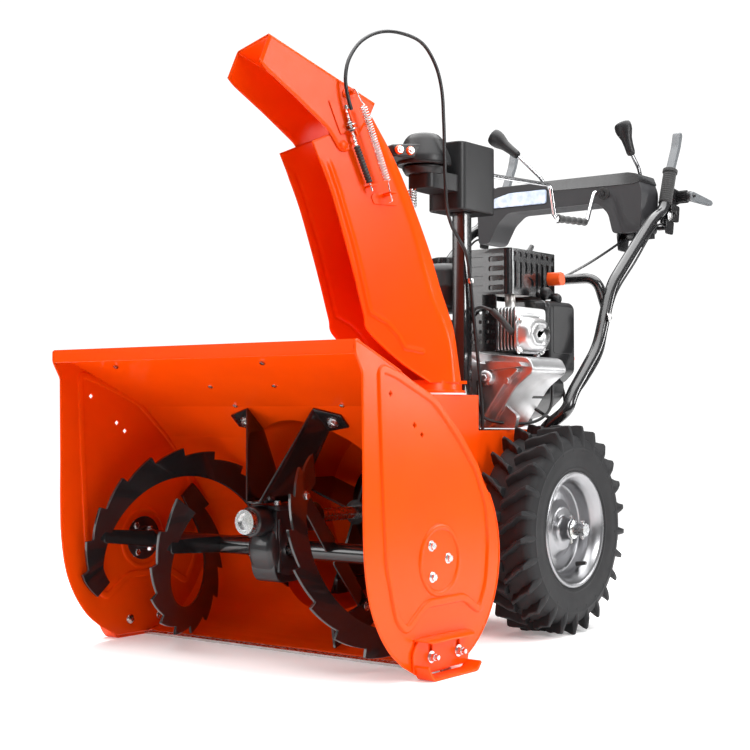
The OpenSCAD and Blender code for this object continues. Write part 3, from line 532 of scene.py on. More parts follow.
make("gear_case_casting",
     merge(turned(rounded([[12.7, -33], [40, -33], [53.6, -24], [53.6, 24], [40, 33], [12.7, 33]], 7, 4,
                          True), [0, AUGER_Y, AUGER_Z], [1, 0, 0], 64, True),
           turned(rounded([[20, 0], [27, 0], [27, 30], [24, 50], [24, 150], [27, 158], [27, 180], [13, 180],
                           [13, 20], [20, 12]], 3, 3, True), [0, 150, 242], [0, 1, 0], 48, True),
           slab(rounded([[188, 200], [188, 262], [266, 262], [266, 200]], 8, 4, True), -31, 31),
           slab(rounded(oblong(-35.6, 186.4, 35.6, 267.6), 9, 4, True), 261, 270, "z"),
           slab(rounded([[184, 190], [186, 150], [200, 130.4], [254, 130.4], [270, 150], [272, 190]], 18, 6,
                        True), -28, 28), tube([[-30, 196, 150], [-30, 196, 246]], 4, 12),
           tube([[30, 196, 150], [30, 196, 246]], 4, 12)), "chassis", CAST_BLACK, "gear_case", bevel=1.6,
     steps=3)
make("auger_cross_shaft",
     merge(tube([[-352, AUGER_Y, AUGER_Z], [352, AUGER_Y, AUGER_Z]], 12.4, 32),
           *[bolt([x, AUGER_Y, AUGER_Z + 16.6 * s], [0, 0, s], 10, 7, 1.2)
             for x in (-332, -62, 62, 332) for s in (1, -1)]), "augers", ZINC, "auger_shaft")
make("wrap_screws",
     merge(*[bolt([x, y, z], [0, -0.39, -0.92], 9, 3.4, 0)
             for x, y, z in ((-96, 150, 484.6), (58, 150, 484.6), (-250, 60, 521), (110, 60, 521),
                             (-105, 226, 449.8), (150, 226, 449.8))]), "chassis", ZINC)


# ---- augers ----

def ribbon(first, start, side):
    """Ribbon wound 250 degrees about the shaft, from 21 degrees before `first`: its place along the
    shaft falls 1 mm a degree and is held inside the side plate at 342 mm, and its outer radius climbs
    along each 21 degree tooth and drops at the tooth's end."""
    phi = (first - 21 + np.arange(12)[:, None] * 21 + np.array([[0.0, 4, 8, 12, 16, 19.6, 20.2]])).ravel()[
        :-1]
    share = np.minimum(((phi - first) % 21) / 19.6, 1)
    outer = 163 + 15 * share
    mid = (124 + outer) / 2
    place = np.minimum(start - phi, 342)
    a = np.radians(phi)
    t = 3.0
    section = [(-t, 124 + 0 * outer), (-t, mid), (-t, outer), (t, outer), (t, mid), (t, 124 + 0 * outer)]
    rings = np.stack([np.stack([place + dx, AUGER_Y - r * np.cos(a), AUGER_Z + r * np.sin(a)], -1)
                      for dx, r in section], 1)
    shape = loft(rings)
    return shape if side > 0 else other_side(shape)


def ribbon_arm(angle, start, side):
    """Flat arm with rounded ends, from the tube out over the ribbon."""
    a = math.radians(angle)
    out, up = np.array([0, -math.cos(a), math.sin(a)]), np.array([0, math.sin(a), math.cos(a)])
    plan = rounded([[12, -16], [120, -13], [142, -13], [142, 13], [120, 13], [12, 16]], 8, 5, True)
    base = np.array([start - angle, AUGER_Y, AUGER_Z], float)
    rings = [base + np.array([t, 0, 0]) + plan[:, :1] * out + plan[:, 1:] * up for t in (-6.2, -2.8)]
    shape = loft(rings)
    head = bolt(base + np.array([3.0, 0, 0]) + out * 134, [1, 0, 0], 11, 5, 1)
    return (shape, head) if side > 0 else (other_side(shape), other_side(head))


for side, sign, start in (("left", 1, 186), ("right", -1, 138)):
    tube_shape = turned([[16.9, 0], [16.9, 296], [12.7, 296], [12.7, 0]], [46 * sign, AUGER_Y, AUGER_Z],
                        [sign, 0, 0], 40, True)
    shapes, heads = [tube_shape], []
    for turn in (0, 180):
        first = start + turn - 336
        shapes.append(ribbon(first, start + turn, sign))
        for a in (first + 24, first + 200):
            arm, head = ribbon_arm(a, start + turn, sign)
            shapes.append(arm)
            heads.append(head)
    make(f"auger_{side}_ribbons", merge(*shapes), "augers", BLACK_COAT, f"auger_{side}", bevel=0.8)
    make(f"auger_{side}_arm_bolts", merge(*heads), "augers", ZINC)


# ---- wheels ----

def wheel_ring(profile, centre_x, count=120):
    """A closed profile of [radius, across] spun about the wheel's axle."""
    return turned(profile, [centre_x, AXLE_Y, AXLE_Z], [1, 0, 0], count, True)


def tyre_carcass(centre_x):
    """Carcass: bead, bulging sidewall with two raised rings, and a rounded crown."""
    outer = rounded([[103, 40], [108, 50], [118, 54.5], [121, 56.2], [124, 55.4], [140, 58.5], [158, 59.6],
                     [161, 60.8], [164, 59.4], [176, 56], [184, 48], [188, 30], [189, 0]], 5, 4)
    inner = rounded([[180, 0], [179, 28], [172, 44], [150, 50], [118, 46], [103.2, 32]], 8, 4)
    ring = np.concatenate([outer, (outer[::-1] * [1, -1])[1:], inner[::-1] * [1, -1], inner[1:]])
    return wheel_ring(ring, centre_x)


def tyre_lugs(centre_x, count=25):
    """Lugs: a tapered bar runs from the crown's middle out and back to the shoulder and down the wall;
    each is one loft of four-cornered rings, and the set is spun round, staggered on the two sides."""
    across = np.array([2, 14, 28, 42, 52, 58.5, 59.5])
    root = np.array([186, 186, 185, 182, 175, 165, 152])
    top = np.array([203.5, 205, 203, 205.8, 205.6, 184, 156])
    swing = np.radians([-1.2, 1.0, 4.2, 7.2, 8.4, 8.6, 8.6])
    half = np.radians([2.7, 1.5, 2.5, 1.3, 2.3, 1.7, 0.7])
    out = np.array([0, 0, 0, 0.8, 1.4, 1.6, 0.8])
    shapes = []
    for side in (1, -1):
        base = 0 if side > 0 else math.pi / count
        turns = base + np.arange(count) * 2 * math.pi / count
        corners = [(root, 1.35, 0), (top, 0.55, 1), (top, -0.55, 1), (root, -1.35, 0)]
        rings = []
        for r, w, high in corners:
            a = turns[:, None] + swing[None] + w * half[None]
            rings.append(np.stack([centre_x + side * (across + high * out)[None] + 0 * a,
                                   AXLE_Y + r[None] * np.sin(a), AXLE_Z + r[None] * np.cos(a)], -1))
        rings = np.stack(rings, 2)
        shapes += [loft(r) for r in rings]
    return merge(*shapes)


def rim(centre_x, side):
    """Pressed rim: rolled flange, drop well, dished disc and hub tube, as one closed profile."""
    profile = rounded([[12.7, -30], [23, -30], [24.5, 16], [40, 20], [58, 10], [82, 6], [88, 4], [90, -34],
                       [97, -44], [106, -54], [112, -54.5], [113.5, -50], [109, -49], [100, -40],
                       [93.5, -31], [93.5, 31], [100, 41], [108, 50], [113.5, 50], [115, 53.5], [112, 56.5],
                       [105, 55], [96, 46], [90, 36], [89, 12], [82, 11], [58, 15], [42, 25.5], [25, 26],
                       [21, 30], [20, 47], [18, 49], [12.7, 49]], 3.5, 4, True)
    return wheel_ring(profile * [1, side], centre_x)


for side, sign in (("left", 1), ("right", -1)):
    x = 272 * sign
    make(f"tyre_{side}_carcass", tyre_carcass(x), f"{side}_wheel", TYRE_RUBBER, f"tyre_{side}")
    make(f"tyre_{side}_lugs", tyre_lugs(x), f"{side}_wheel", TYRE_RUBBER, bevel=1.6)
    nut = merge(bolt([322 * sign, AXLE_Y, AXLE_Z], [sign, 0, 0], 22, 8, 2.4),
                tube([[x + 44 * sign, AXLE_Y, z] for z in (178, 234)], 3, 12))
    make(f"wheel_{side}_hub_pin", nut, f"{side}_wheel", ZINC)
    make(f"wheel_{side}_valve",
         tube([[x + 34 * sign, 782, 134], [x + 52 * sign, 780, 137], [x + 56 * sign, 780, 137]],
              [5, 4, 3.4], 14), f"{side}_wheel", SOFT_GRIP)
    make(f"wheel_{side}_pressed_rim", rim(x, sign), f"{side}_wheel", SHADE_DARKENED_RIM, f"rim_{side}")


# ---- chute and deflector ----

CHUTE_STATIONS = np.array([
    [[30, 492], [-24, 492], [-54, 492]], [[95, 531], [-17, 560], [-38, 590]],
    [[161, 585], [2, 614], [-25, 630]], [[172, 619], [24, 658], [-9, 672]],
    [[190, 685], [57, 765], [18, 749]], [[210, 753], [93, 857], [60, 848]],
    [[238, 840], [126, 925], [97, 922]], [[277, 932], [160, 984], [141, 992]]], float)
CHUTE_BEAD = [[226, 948], [256, 933], [222, 845], [192, 755], [175, 692], [157, 622], [122, 604], [98, 581],
              [83, 557], [44, 551]]


def dense(line, step):
    """A line with points added so that none are further apart than step."""
    parts = [np.linspace(a, b, max(2, int(np.linalg.norm(b - a) / step) + 1))[:-1]
             for a, b in zip(line, line[1:])]
    return np.concatenate(parts + [line[-1:]])


def chute_wall():
    """Open trough: the front edge, fold and outer back are cubics through the stations, each section
    runs side, corner, back, corner, side, and the sides carry a raised bead."""
    curve = through(CHUTE_STATIONS, 150)
    rings = []
    for (f, b, o) in curve:
        line = np.array([[f[0], 72, f[1]], [b[0], 72, b[1]], [o[0], 52, o[1]],
                         [o[0], -52, o[1]], [b[0], -72, b[1]], [f[0], -72, f[1]]])
        bent = rounded(line, 9, 5)
        legs = [np.linspace(bent[0], bent[1], 44)[:-1], bent[1:11],
                np.linspace(bent[10], bent[11], 12)[1:-1], bent[11:21],
                np.linspace(bent[20], bent[21], 44)[1:]]
        rings.append(np.concatenate(legs))
    p = np.array(rings)
    press = bead(p[..., [0, 2]], CHUTE_BEAD, 5.5, 2.3) * (abs(p[..., 1]) > 71.4)
    edge = gap_to(p[..., [0, 2]], curve[:, 0])
    press += 2.6 * np.exp(-(edge / 2.6) ** 2) * (abs(p[..., 1]) > 71.4)
    p[..., 1] += np.sign(p[..., 1]) * press * np.clip((902 - p[..., 2]) / 18, 0, 1)
    return grid(on_chute(p))


make("chute_shell", chute_wall(), "chute_body", ORANGE_COAT, "chute", wall=2.5, smooth=50)
make("chute_collar",
     merge(turned(rounded([[67.8, 474], [80, 474], [80, 478.5], [73.4, 479], [73.4, 497.4], [67.8, 497.4]],
                          1.2, 3, True), [CHUTE_X, CHUTE_Y, 0], [0, 0, 1], 72, True),
           shape_on_chute(box([-62, -58, 491], [-44, 58, 497]))), "chute_body", ORANGE_COAT)


def deflector_hood():
    """Folded hood: along its length, a section goes up one wall, over the top and down the other, from
    the lower edge to the top line, with round folds."""
    low = dense(rounded([[160, 987], [192, 934], [205, 917], [222, 918], [246, 955], [310, 1007],
                         [372, 1054], [383, 1067]], 9, 4), 5)
    f = np.concatenate([[0], np.cumsum(np.linalg.norm(np.diff(low, axis=0), axis=1))])
    f = f / f[-1]
    top = np.array([148, 1014]) + f[:, None] * np.array([215, 105])
    rings = []
    for b, t in zip(low, top):
        line = np.array([[b[0], 75, b[1]], [t[0], 75, t[1]], [t[0], -75, t[1]], [b[0], -75, b[1]]])
        bent = rounded(line, 5, 5)
        rings.append(np.concatenate([np.linspace(bent[0], bent[1], 26)[:-1], bent[1:6],
                                     np.linspace(bent[5], bent[6], 20)[1:-1], bent[6:11],
                                     np.linspace(bent[10], bent[11], 26)[1:]]))
    p = np.array(rings)
    on_wall = abs(p[..., 1]) > 74.5
    hem = gap_to(p[..., [0, 2]], low)
    p[..., 1] += np.sign(p[..., 1]) * 1.5 * np.exp(-(hem / 3.0) ** 2) * on_wall
    return grid(on_chute(p))


make("deflector_hood", deflector_hood(), "deflector", ORANGE_COAT, "deflector_cap", wall=2.5,
     smooth=50)


def chute_slab(outline, low, high):
    """An outline of forward and up, carried across the chute from low to high."""
    return shape_on_chute(slab(outline, low, high, "y"))


def chute_rod(a, b, radius, sides=20):
    """A straight rod of the chute's frame from a to b, with one radius or a list of them along it."""
    path = np.linspace(a, b, max(2, np.size(radius)))
    return tube(on_chute(path), radius, sides)


def across(v):
    """A direction of the chute's frame turned to the machine's."""
    return on_chute(np.array(v, float)) - on_chute([0, 0, 0])


make("deflector_bracket", merge(
    chute_slab(rounded([[246, 1010], [221, 948], [198, 953], [208, 992]], 4, 4, True), 76.6, 79.4),
    chute_slab([[214, 992], [211, 992], [193, 947], [196, 946]], 78, 96),
    chute_slab(rounded(oblong(216, 1034, 190, 1018), 6, 4, True), 76.6, 79.4)),
    "deflector", ORANGE_COAT, "cable_end_fitting", bevel=0.7)
step = np.linspace(0, 1, 60)
make("cable_barrel", merge(
    chute_rod([214, 88, 995], [193, 88, 926], 3.6 + 0.45 * np.sin(step * 2 * math.pi * 22), 16),
    bolt(on_chute([204.8, 88, 965]), across([21, 0, 69]), 13, 6, 1.4),
    bolt(on_chute([203, 88, 958]), -across([21, 0, 69]), 13, 6, 1.4),
    chute_rod([215.5, 88, 1001], [213.5, 88, 994], [3.9, 5.4], 16),
    chute_rod([165, 88, 860], [160, 88, 846], [2.2, 2.2], 12)), "deflector", ZINC)
ribs = np.linspace(0, 1, 130)
make("cable_bellows",
     chute_rod([193, 88, 927], [166, 88, 861], 4.6 + 1.7 * np.abs(np.sin(ribs * math.pi * 13)), 24),
     "deflector", CABLE_SLEEVE, smooth=60)


def return_spring():
    """Coil: a circle of radius 6.4 turning 31 times along its axis, with a hook bent at each end."""
    top, foot = np.array([186.5, 102, 1000.0]), np.array([137, 102, 865.0])
    axis = unit(foot - top)
    e1 = np.array([0, 1.0, 0])
    e2 = np.cross(axis, e1)
    t = np.linspace(0, 1, 640)
    a = t * 2 * math.pi * 31
    coil = top + t[:, None] * (foot - top) + 6.4 * (np.cos(a)[:, None] * e1 + np.sin(a)[:, None] * e2)
    upper = rounded([[203, 96, 1027], [203, 102, 1031], [200, 106, 1020], [188, 103, 1004], coil[0]], 4, 5)
    lower = rounded([coil[-1], [134, 102, 860], [131, 102, 846], [124, 100, 828], [127, 94, 826]], 4, 5)
    return merge(tube(on_chute(coil), 1.15, 7, (0.3, 0.9, 0.31)), tube(on_chute(upper), 1.25, 8),
                 tube(on_chute(lower), 1.25, 8))


spring = make("deflector_return_spring", return_spring(), None, ZINC, "deflector_spring", smooth=60)
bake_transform(spring)
make("spring_tab",
     merge(chute_slab(rounded([[100, 846], [150, 846], [156, 838], [150, 824], [100, 824]], 4, 4, True),
                      73.4, 76), chute_slab(oblong(118, 845, 132, 842), 75, 108),
           chute_slab([[150, 862], [168, 856], [167, 853], [149, 859]], 72, 96)), "chute_body", ORANGE_COAT,
     bevel=0.6)
hinge = [turned(rounded([[0, 3.6], [6, 3], [9, 0.4], [9, 0], [0, 0]], 1, 3), on_chute([214, s * 76.3, 929]),
                across([0, s, 0]), 32) for s in (1, -1)]
make("deflector_hinge_rivets", merge(*hinge), "deflector", ORANGE_COAT)
make("spring_anchor", bolt(on_chute([203, 79.6, 1027]), across([0, 1, 0]), 9, 18, 1.2), "deflector",
     ORANGE_COAT)

CABLE_ROUTE = [[110, 303, 992], [106, 296, 1020], [103, 294, 1052], [101, 308, 1090], [101, 345, 1130],
               [103, 400, 1158], [116, 450, 1164], [136, 490, 1150], [152, 512, 1110], [161, 521, 1060],
               [164, 523, 1000], [166, 523, 940], [167, 524, 880], [163, 535, 832], [154, 566, 800],
               [144, 604, 780], [141, 636, 752], [141, 650, 700], [143, 660, 620], [147, 668, 540],
               [150, 676, 460], [150, 680, 398]]
cable_path = through(CABLE_ROUTE, 260)
cable = make("deflector_control_cable", tube(cable_path, 3.5, 12), None, CABLE_SLEEVE, "deflector_cable",
             smooth=60)
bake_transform(cable)
make("cable_clip",
     turned([[3.6, -5], [6.5, -5], [7, 0], [6.5, 5], [3.6, 5]], [141, 650, 700], [0.02, 0.12, -1], 20,
            True), "chassis", ZINC)


# ---- gear head, post and crank ----

def at_chute_axis(profile, count=64):
    """A profile of [radius, height] spun about the chute's axis."""
    return turned(profile, [CHUTE_X, CHUTE_Y, 0], [0, 0, 1], count)


arm = loft([[[u, s * w, z] for s, z in ((-1, z0), (-1, z1), (1, z1), (1, z0))]
            for u, w, z0, z1 in ((20, 36, 924, 956), (60, 34, 925, 952), (88, 30, 928, 950))])
make("gear_head_dome",
     at_chute_axis(rounded([[0, 981], [22, 981], [30, 978], [38, 969], [46, 950], [52.5, 934], [54, 922],
                            [52, 917.5], [0, 917.5]], 4, 5)), "chute_body", BLACK_PLASTIC,
     "gear_head_cover", smooth=40)
make("gear_head_arm", shape_on_chute(arm), "chute_body", BLACK_PLASTIC, (), bevel=5,
     steps=3)
caps = [turned(rounded([[0, 9], [5, 9], [8.5, 6], [9, 0], [0, 0]], 1.5, 3), on_chute([u, 32, 939]),
               across([0, 1, 0]), 28) for u in (50, 74)]
make("gear_arm_caps", merge(*caps), "chute_body", ORANGE_PLASTIC)
make("gear_arm_screws",
     merge(*[bolt(on_chute([u, 40, 939]), across([0, 1, 0]), 8, 4, 0.8) for u in (50, 74)]), "chute_body",
     ZINC)
head_plan = rounded(oblong(73, 592, 159, 723), 20, 8, True)
neck_plan = rounded([[86, 506], [144, 506], [152, 600], [80, 600]], 16, 6, True)
base_head = make("gear_head_box", slab(head_plan, 838, 974.5, "z"), "chassis", BLACK_PLASTIC,
                 "gear_head_base", bevel=7, steps=4)
cut(base_head, box([99, 629, 820], [141, 673, 914]))
make("gear_head_shelf",
     merge(slab(neck_plan, 872, 906, "z"),
           at_chute_axis(rounded([[0, 916.6], [42, 916.6], [43, 912], [36, 900], [0, 900]], 2, 3))),
     "chassis", BLACK_PLASTIC, (), bevel=5, steps=3)
t = np.linspace(0, 1, 90)
gear_coil = np.stack([98 + 9 * np.cos(t * 44), 508 + 9 * np.sin(t * 44), 871 - 36 * t], -1)
make("gear_head_coil", merge(tube(gear_coil, 1.7, 8, (0.1, 0.2, 0.97)),
                             turned(oblong(0, 872, 4, 830), [98, 508, 0], [0, 0, 1], 16)),
     "chassis", ZINC, smooth=60)
post_plan = rounded(oblong(105.2, 636.2, 134.8, 665.8), 3.5, 4, True)
make("chute_post_tube", slab(post_plan, 400.5, 914.5, "z"), "chassis", BLACK_COAT, "chute_post",
     smooth=30)
make("post_foot", merge(box([96, 628, 400.6], [146, 676, 405]), slab(
    oblong(96, 628, 146, 632), 405, 470, "z"), bolt([141, 669, 405], [0, 0, 1], 13, 7, 1.6),
    bolt([101, 669, 405], [0, 0, 1], 13, 7, 1.6)), "chassis", ZINC, bevel=0.6)

crank_line = rounded([[0, 0, 0], [0, 272, 0], [0, 288, -72], [0, 434, -72], [0, 474, 0], [0, 520, 0]], 11,
                     8)
make("crank_handle_rod",
     merge(tube(on_crank(crank_line), 4.9, 18), tube(on_crank([[0, 291, -72], [0, 295.5, -72]]), 9.4, 24)),
     "crank", BRIGHT_ROD, "crank_rod", smooth=60)
r = np.linspace(0, 1, 160)
rib = 7.4 + 1.5 * np.abs(np.cos(r * math.pi * 5)) ** 3
rib[:12], rib[-4:] = 10.2, 8.8
make("crank_ribbed_grip", tube(on_crank(np.stack([0 * r, 296.5 + 129 * r, 0 * r - 72], -1)), rib, 32),
     "grip", SOFT_GRIP, "crank_grip", smooth=50)


# ---- engine ----

def stadium(x0, z0, x1, z1):
    """A slot with round ends: its corners turn as far as half its narrow side."""
    return rounded(oblong(x0, z0, x1, z1), min(abs(x1 - x0), abs(z1 - z0)) * 0.49, 6, True)


shell = rounded(oblong(25, 768, 160, 960), 14, 6, True)
inside = rounded(oblong(28, 771, 157, 957), 12, 6, True)
guard = make("muffler_slotted_guard", slab(shell, 681, 777.5, "z"), "chassis", BLACK_COAT, "muffler_guard",
             bevel=1.0)
slots = [slab(inside, 670, 775, "z")]
for z in (690, 710, 730, 750):
    slots += [slab(stadium(38, z, 98, z + 11), 760, 776, "y"),
              slab(stadium(108, z, 146, z + 11), 760, 776, "y")]
for i in range(8):
    y = 782 + 22 * i
    low_z = 726 if 2 <= i <= 3 else 694
    slots += [slab(stadium(y, low_z, y + 12, 752), 150, 170),
              slab(stadium(96, y, 146, y + 12), 770, 785, "z"),
              slab(stadium(38, y, 88, y + 12), 770, 785, "z"), slab(stadium(y, 760, y + 12, 771), 150, 170)]
slots.append(slab(rounded([[828, 700], [846, 694], [864, 700], [864, 716], [846, 722], [828, 716]], 9, 6,
                          True), 150, 170))
cut(guard, *slots)


def level_ring(x0, y0, x1, y1, radius, inset, z):
    """One level ring of the muffler or the tank: an oblong with round corners, drawn in by the inset."""
    flat = rounded(oblong(x0 + inset, y0 + inset, x1 - inset, y1 - inset), radius, 8, True)
    return np.concatenate([flat, np.full((len(flat), 1), float(z))], 1)


make("muffler_can",
     loft([level_ring(46, 784, 150, 944, 26, d, z)
           for d, z in ((10, 688), (2, 694), (0, 702), (0, 722), (-2, 724), (-2, 728), (0, 730), (0, 748),
                        (2, 756), (12, 762))]), "chassis", HOT_STEEL, "muffler", smooth=40)
make("muffler_pipe", tube(rounded([[141, 800, 700], [141, 800, 664], [150, 790, 648]], 14, 6), 11, 20),
     "chassis", HOT_STEEL)
make("guard_spout",
     merge(tube([[118, 905, 777], [122, 912, 786], [124, 918, 796]], [7, 6, 5.2], 16),
           turned(rounded([[0, 9], [6, 9], [9, 5], [9, 0], [0, 0]], 2, 3), [158, 884, 688], [1, 0, 0.1],
                  20)), "chassis", BLACK_COAT)
make("engine_knobs",
     merge(*[turned(rounded([[0, 20], [7, 19], [12, 13], [12.5, 7], [8, 1], [5, -8], [0, -8]], 3, 4), at,
                    [0.75, 0, 0.66], 28) for at in ([163, 905, 683], [180, 912, 672])]), "chassis",
     BLACK_PLASTIC)
make("choke_lever_knob",
     turned(rounded([[0, 26], [8, 25], [12, 18], [12, 12], [6, 5], [4.6, 0], [0, 0]], 3, 4),
            [190, 862, 673], [0, 0, 1], 28), "choke", BLACK_PLASTIC, "choke_knob")
make("throttle_tab",
     slab(rounded([[900, 706], [918, 706], [922, 716], [916, 732], [898, 734], [894, 718]], 4, 4, True),
          172, 204), "chassis", ORANGE_PLASTIC, bevel=1.5)


def cover_ring(x, inset):
    """One ring of the valve cover: a rounded octagon in Y and Z at its place outwards."""
    flat = rounded([[726 + inset, 556 + inset], [792 - inset, 556 + inset], [812 - inset, 574 + inset],
                    [812 - inset, 614 - inset], [794 - inset, 632 - inset], [728 + inset, 632 - inset],
                    [710 + inset, 614 - inset], [710 + inset, 576 + inset]], 8, 5, True)
    return np.concatenate([np.full((len(flat), 1), float(x)), flat], 1)


make("valve_cover_pressing",
     loft([cover_ring(x, d)
           for x, d in ((208, -1), (212, -1), (213, 3), (228, 5), (234, 8), (238, 14), (238.5, 20),
                        (236, 23), (235.6, 30))]), "chassis", CAST_ALUMINIUM, "valve_cover", smooth=50)
make("valve_cover_bolts", merge(*[bolt([212, y, z], [1, 0, 0], 10, 6, 1.2) for y, z in (
    (718, 562), (806, 562), (718, 626), (806, 626))]), "chassis", ZINC)
fins = [slab(rounded(oblong(716, 560, 836, 650), 12, 5, True), x, x + 3.2) for x in
        range(130, 206, 8)]
make("cylinder_fins", merge(*fins, slab(rounded(oblong(738, 572, 814, 638), 16, 5, True), 126,
                                        208.6)), "chassis", CAST_ALUMINIUM, "cylinder_head", bevel=0.8)
make("spark_plug", merge(
    tube(rounded([[196, 722, 596], [200, 700, 604], [196, 682, 620], [176, 676, 640]], 10, 6), 6.5, 18),
    tube(rounded([[176, 676, 640], [140, 684, 652], [110, 700, 640], [90, 704, 600]], 20, 6), 3.4, 12)),
    "chassis", SOFT_GRIP)


def crankcase_body():
    """Crankcase: its outline in X and Z carried back, with a stepped flange and a boss on its front."""
    outline = rounded([[-108, 404], [146, 404], [206, 488], [250, 520], [236, 547], [120, 558], [60, 600],
                       [-70, 600], [-108, 540]], 12, 5, True)
    inner = rounded([[-92, 420], [136, 420], [190, 494], [226, 524], [120, 540], [52, 582], [-60, 582],
                     [-92, 530]], 12, 5, True)
    return merge(slab(outline, 716, 849, "y"), slab(inner, 700, 720, "y"))


make("crankcase_casting", crankcase_body(), "chassis", CAST_ALUMINIUM, "crankcase", bevel=3, steps=3)
make("crankcase_details",
     merge(turned(rounded([[0, 16], [10, 16], [16, 12], [17, 0], [0, 0]], 3, 4), [150, 702, 506],
                  [0, -1, 0], 32), bolt([150, 688, 506], [0, -1, 0], 13, 6, 1.6),
           turned(oblong(0, 44, 12, 0), [0, 701, 480], [0, -1, 0], 32),
           turned(rounded([[0, 40], [38, 40], [44, 34], [30, 28], [30, 18], [44, 12], [44, 6], [0, 6]], 2,
                          3), [0, 670, 480], [0, -1, 0], 48),
           *[bolt([x, 701, z], [0, -1, 0], 11, 6, 1.4)
             for x, z in ((-98, 416), (134, 416), (-98, 536), (-50, 592), (46, 592), (196, 500))],
           slab(rounded([[112, 404], [198, 404], [204, 430], [150, 470]], 6, 4, True), 724, 736, "y"),
           slab([[150, 520], [236, 528], [230, 536], [150, 540]], 690, 716, "y")), "chassis",
     CAST_ALUMINIUM, bevel=1)
make("carburettor_side",
     merge(turned(rounded([[0, 30], [18, 30], [22, 26], [22, 4], [16, 0], [0, 0]], 3, 4), [186, 838, 592],
                  [0, -1, 0.1], 32), slab(rounded(oblong(168, 566, 204, 604), 6, 4, True), 812, 840, "y"),
           tube(rounded([[206, 800, 556], [196, 800, 530], [170, 812, 522]], 14, 6), 7, 16),
           *[bolt([x, 811, z], [0, -1, 0], 8, 5, 1)
             for x, z in ((174, 572), (198, 572), (174, 598), (198, 598))]), "chassis", CAST_ALUMINIUM,
     bevel=1)
shield = make("heat_shield", merge(
    slab(rounded(oblong(96, 560, 166, 676), 8, 4, True), 706, 709, "y"),
    box([100, 709, 664], [164, 716, 668])), "chassis", BLACK_COAT)
cut(shield, *[slab(rounded(oblong(x - 4, z - 4, x + 4, z + 4), 4, 5, True), 700, 715, "y")
              for x in (112, 128, 144, 158) for z in (580, 600, 620, 640)])

cowl = rounded([[112, 498], [180, 498], [206, 522], [206, 660], [196, 671], [112, 671]], 9, 5, True)
brow = rounded([[110, 604], [118, 563], [205, 563], [205, 661], [197, 671], [110, 671]], 8, 5, True)
cut(make("engine_side_cowl", slab(cowl, 853, 956.5, "y"), "chassis", BLACK_PLASTIC, "blower_housing",
         bevel=5, steps=3), turned(oblong(0, 945, 18.5, 965), [182, 0, 552], [0, 1, 0], 36))
make("engine_front_brow", slab(brow, 838, 855, "y"), "chassis", BLACK_COAT, (), bevel=3,
     steps=3)
make("cowl_panel",
     slab(rounded([[866, 560], [944, 560], [948, 600], [948, 660], [866, 660]], 6, 4, True), 205.4, 206.8),
     "chassis", BLACK_PLASTIC, bevel=0.6)
make("flywheel_shroud",
     merge(slab(rounded([[-119, 405], [119, 405], [119, 600], [80, 639], [-80, 639], [-119, 600]], 20, 6,
                        True), 853, 930, "y"),
           slab(rounded([[60, 404], [150, 430], [196, 470], [196, 505], [60, 505]], 12, 5, True), 800, 930,
                "y")), "chassis", BLACK_PLASTIC, bevel=6, steps=3)
ringed = [[0, 975], [40, 975], [44, 973.5], [48, 975], [84, 975], [97, 966], [100, 955], [100, 929],
          [0, 929]]
starter = make("recoil_slotted_cover", turned(rounded(ringed, 3, 4), [0, 0, 510], [0, 1, 0], 72), "chassis",
               BLACK_PLASTIC)


def air_slot(angle):
    """A slot across the cover, 66 mm from its middle and turned by the angle."""
    c, d = math.cos(angle), math.sin(angle)
    corners = rounded(oblong(63, -9.5, 69, 9.5), 2.9, 4, True)
    return slab(corners @ np.array([[c, d], [-d, c]]) + [0, 510], 962, 985, "y")


cut(starter, *[air_slot(a) for a in np.radians(np.arange(0, 360, 24.0))],
    turned(oblong(0, 985, 7, 960), [-60, 0, 570], [0, 1, 0], 20))
make("starter_pull", merge(
    slab(rounded(oblong(-92, 561, -28, 579), 8.5, 6, True), 983, 996.5, "y"),
    tube([[-60, 966, 570], [-60, 984, 570]], 3, 12)), "recoil_grip", BLACK_PLASTIC, "recoil_handle",
    bevel=3, steps=3)
make("primer_button",
     turned(rounded([[0, 982], [8, 980.5], [12.6, 976], [14, 969], [16.6, 967.6], [17, 958], [0, 958]], 1.5,
                    4), [182, 0, 552], [0, 1, 0], 36), "primer", ORANGE_PLASTIC, "primer_bulb", smooth=60)
make("fuel_tank_moulding",
     loft([level_ring(-180, 770, 10, 930, 30, d, z)
           for d, z in ((14, 656), (4, 660), (0, 668), (0, 700), (-1.5, 703), (-1.5, 709), (0, 712),
                        (0, 738), (5, 750), (16, 757), (30, 758))]), "chassis", BLACK_PLASTIC, "fuel_tank",
     smooth=40)
knurl = np.arange(96) * 2 * math.pi / 96
edge = (27 + 1.0 * np.sign(np.sin(knurl * 24)))[:, None]
around = np.stack([np.cos(knurl), np.sin(knurl)], -1)
make("fuel_cap_knurled",
     loft([np.concatenate([[-60, 850] + around * r, np.full((96, 1), z)], 1)
           for r, z in ((edge * 0.97, 758.6), (edge, 760), (edge, 771), (edge * 0.96, 774),
                        (edge * 0 + 20, 776))]), "tank_cap", BLACK_PLASTIC, "fuel_cap", smooth=25)
fuel_line = through([[150, 826, 470], [176, 850, 440], [196, 890, 420], [200, 922, 432], [196, 928, 470],
                     [188, 920, 505]], 60)
front_line = through([[132, 690, 500], [140, 684, 450], [150, 690, 424], [172, 730, 414], [196, 800, 416],
                      [204, 850, 440], [202, 868, 480], [196, 872, 520]], 90)
make("fuel_lines", merge(tube(fuel_line, 3.6, 10), tube(front_line, 3.2, 10)), "chassis", CABLE_SLEEVE,
     smooth=60)


# ---- handlebars and controls ----

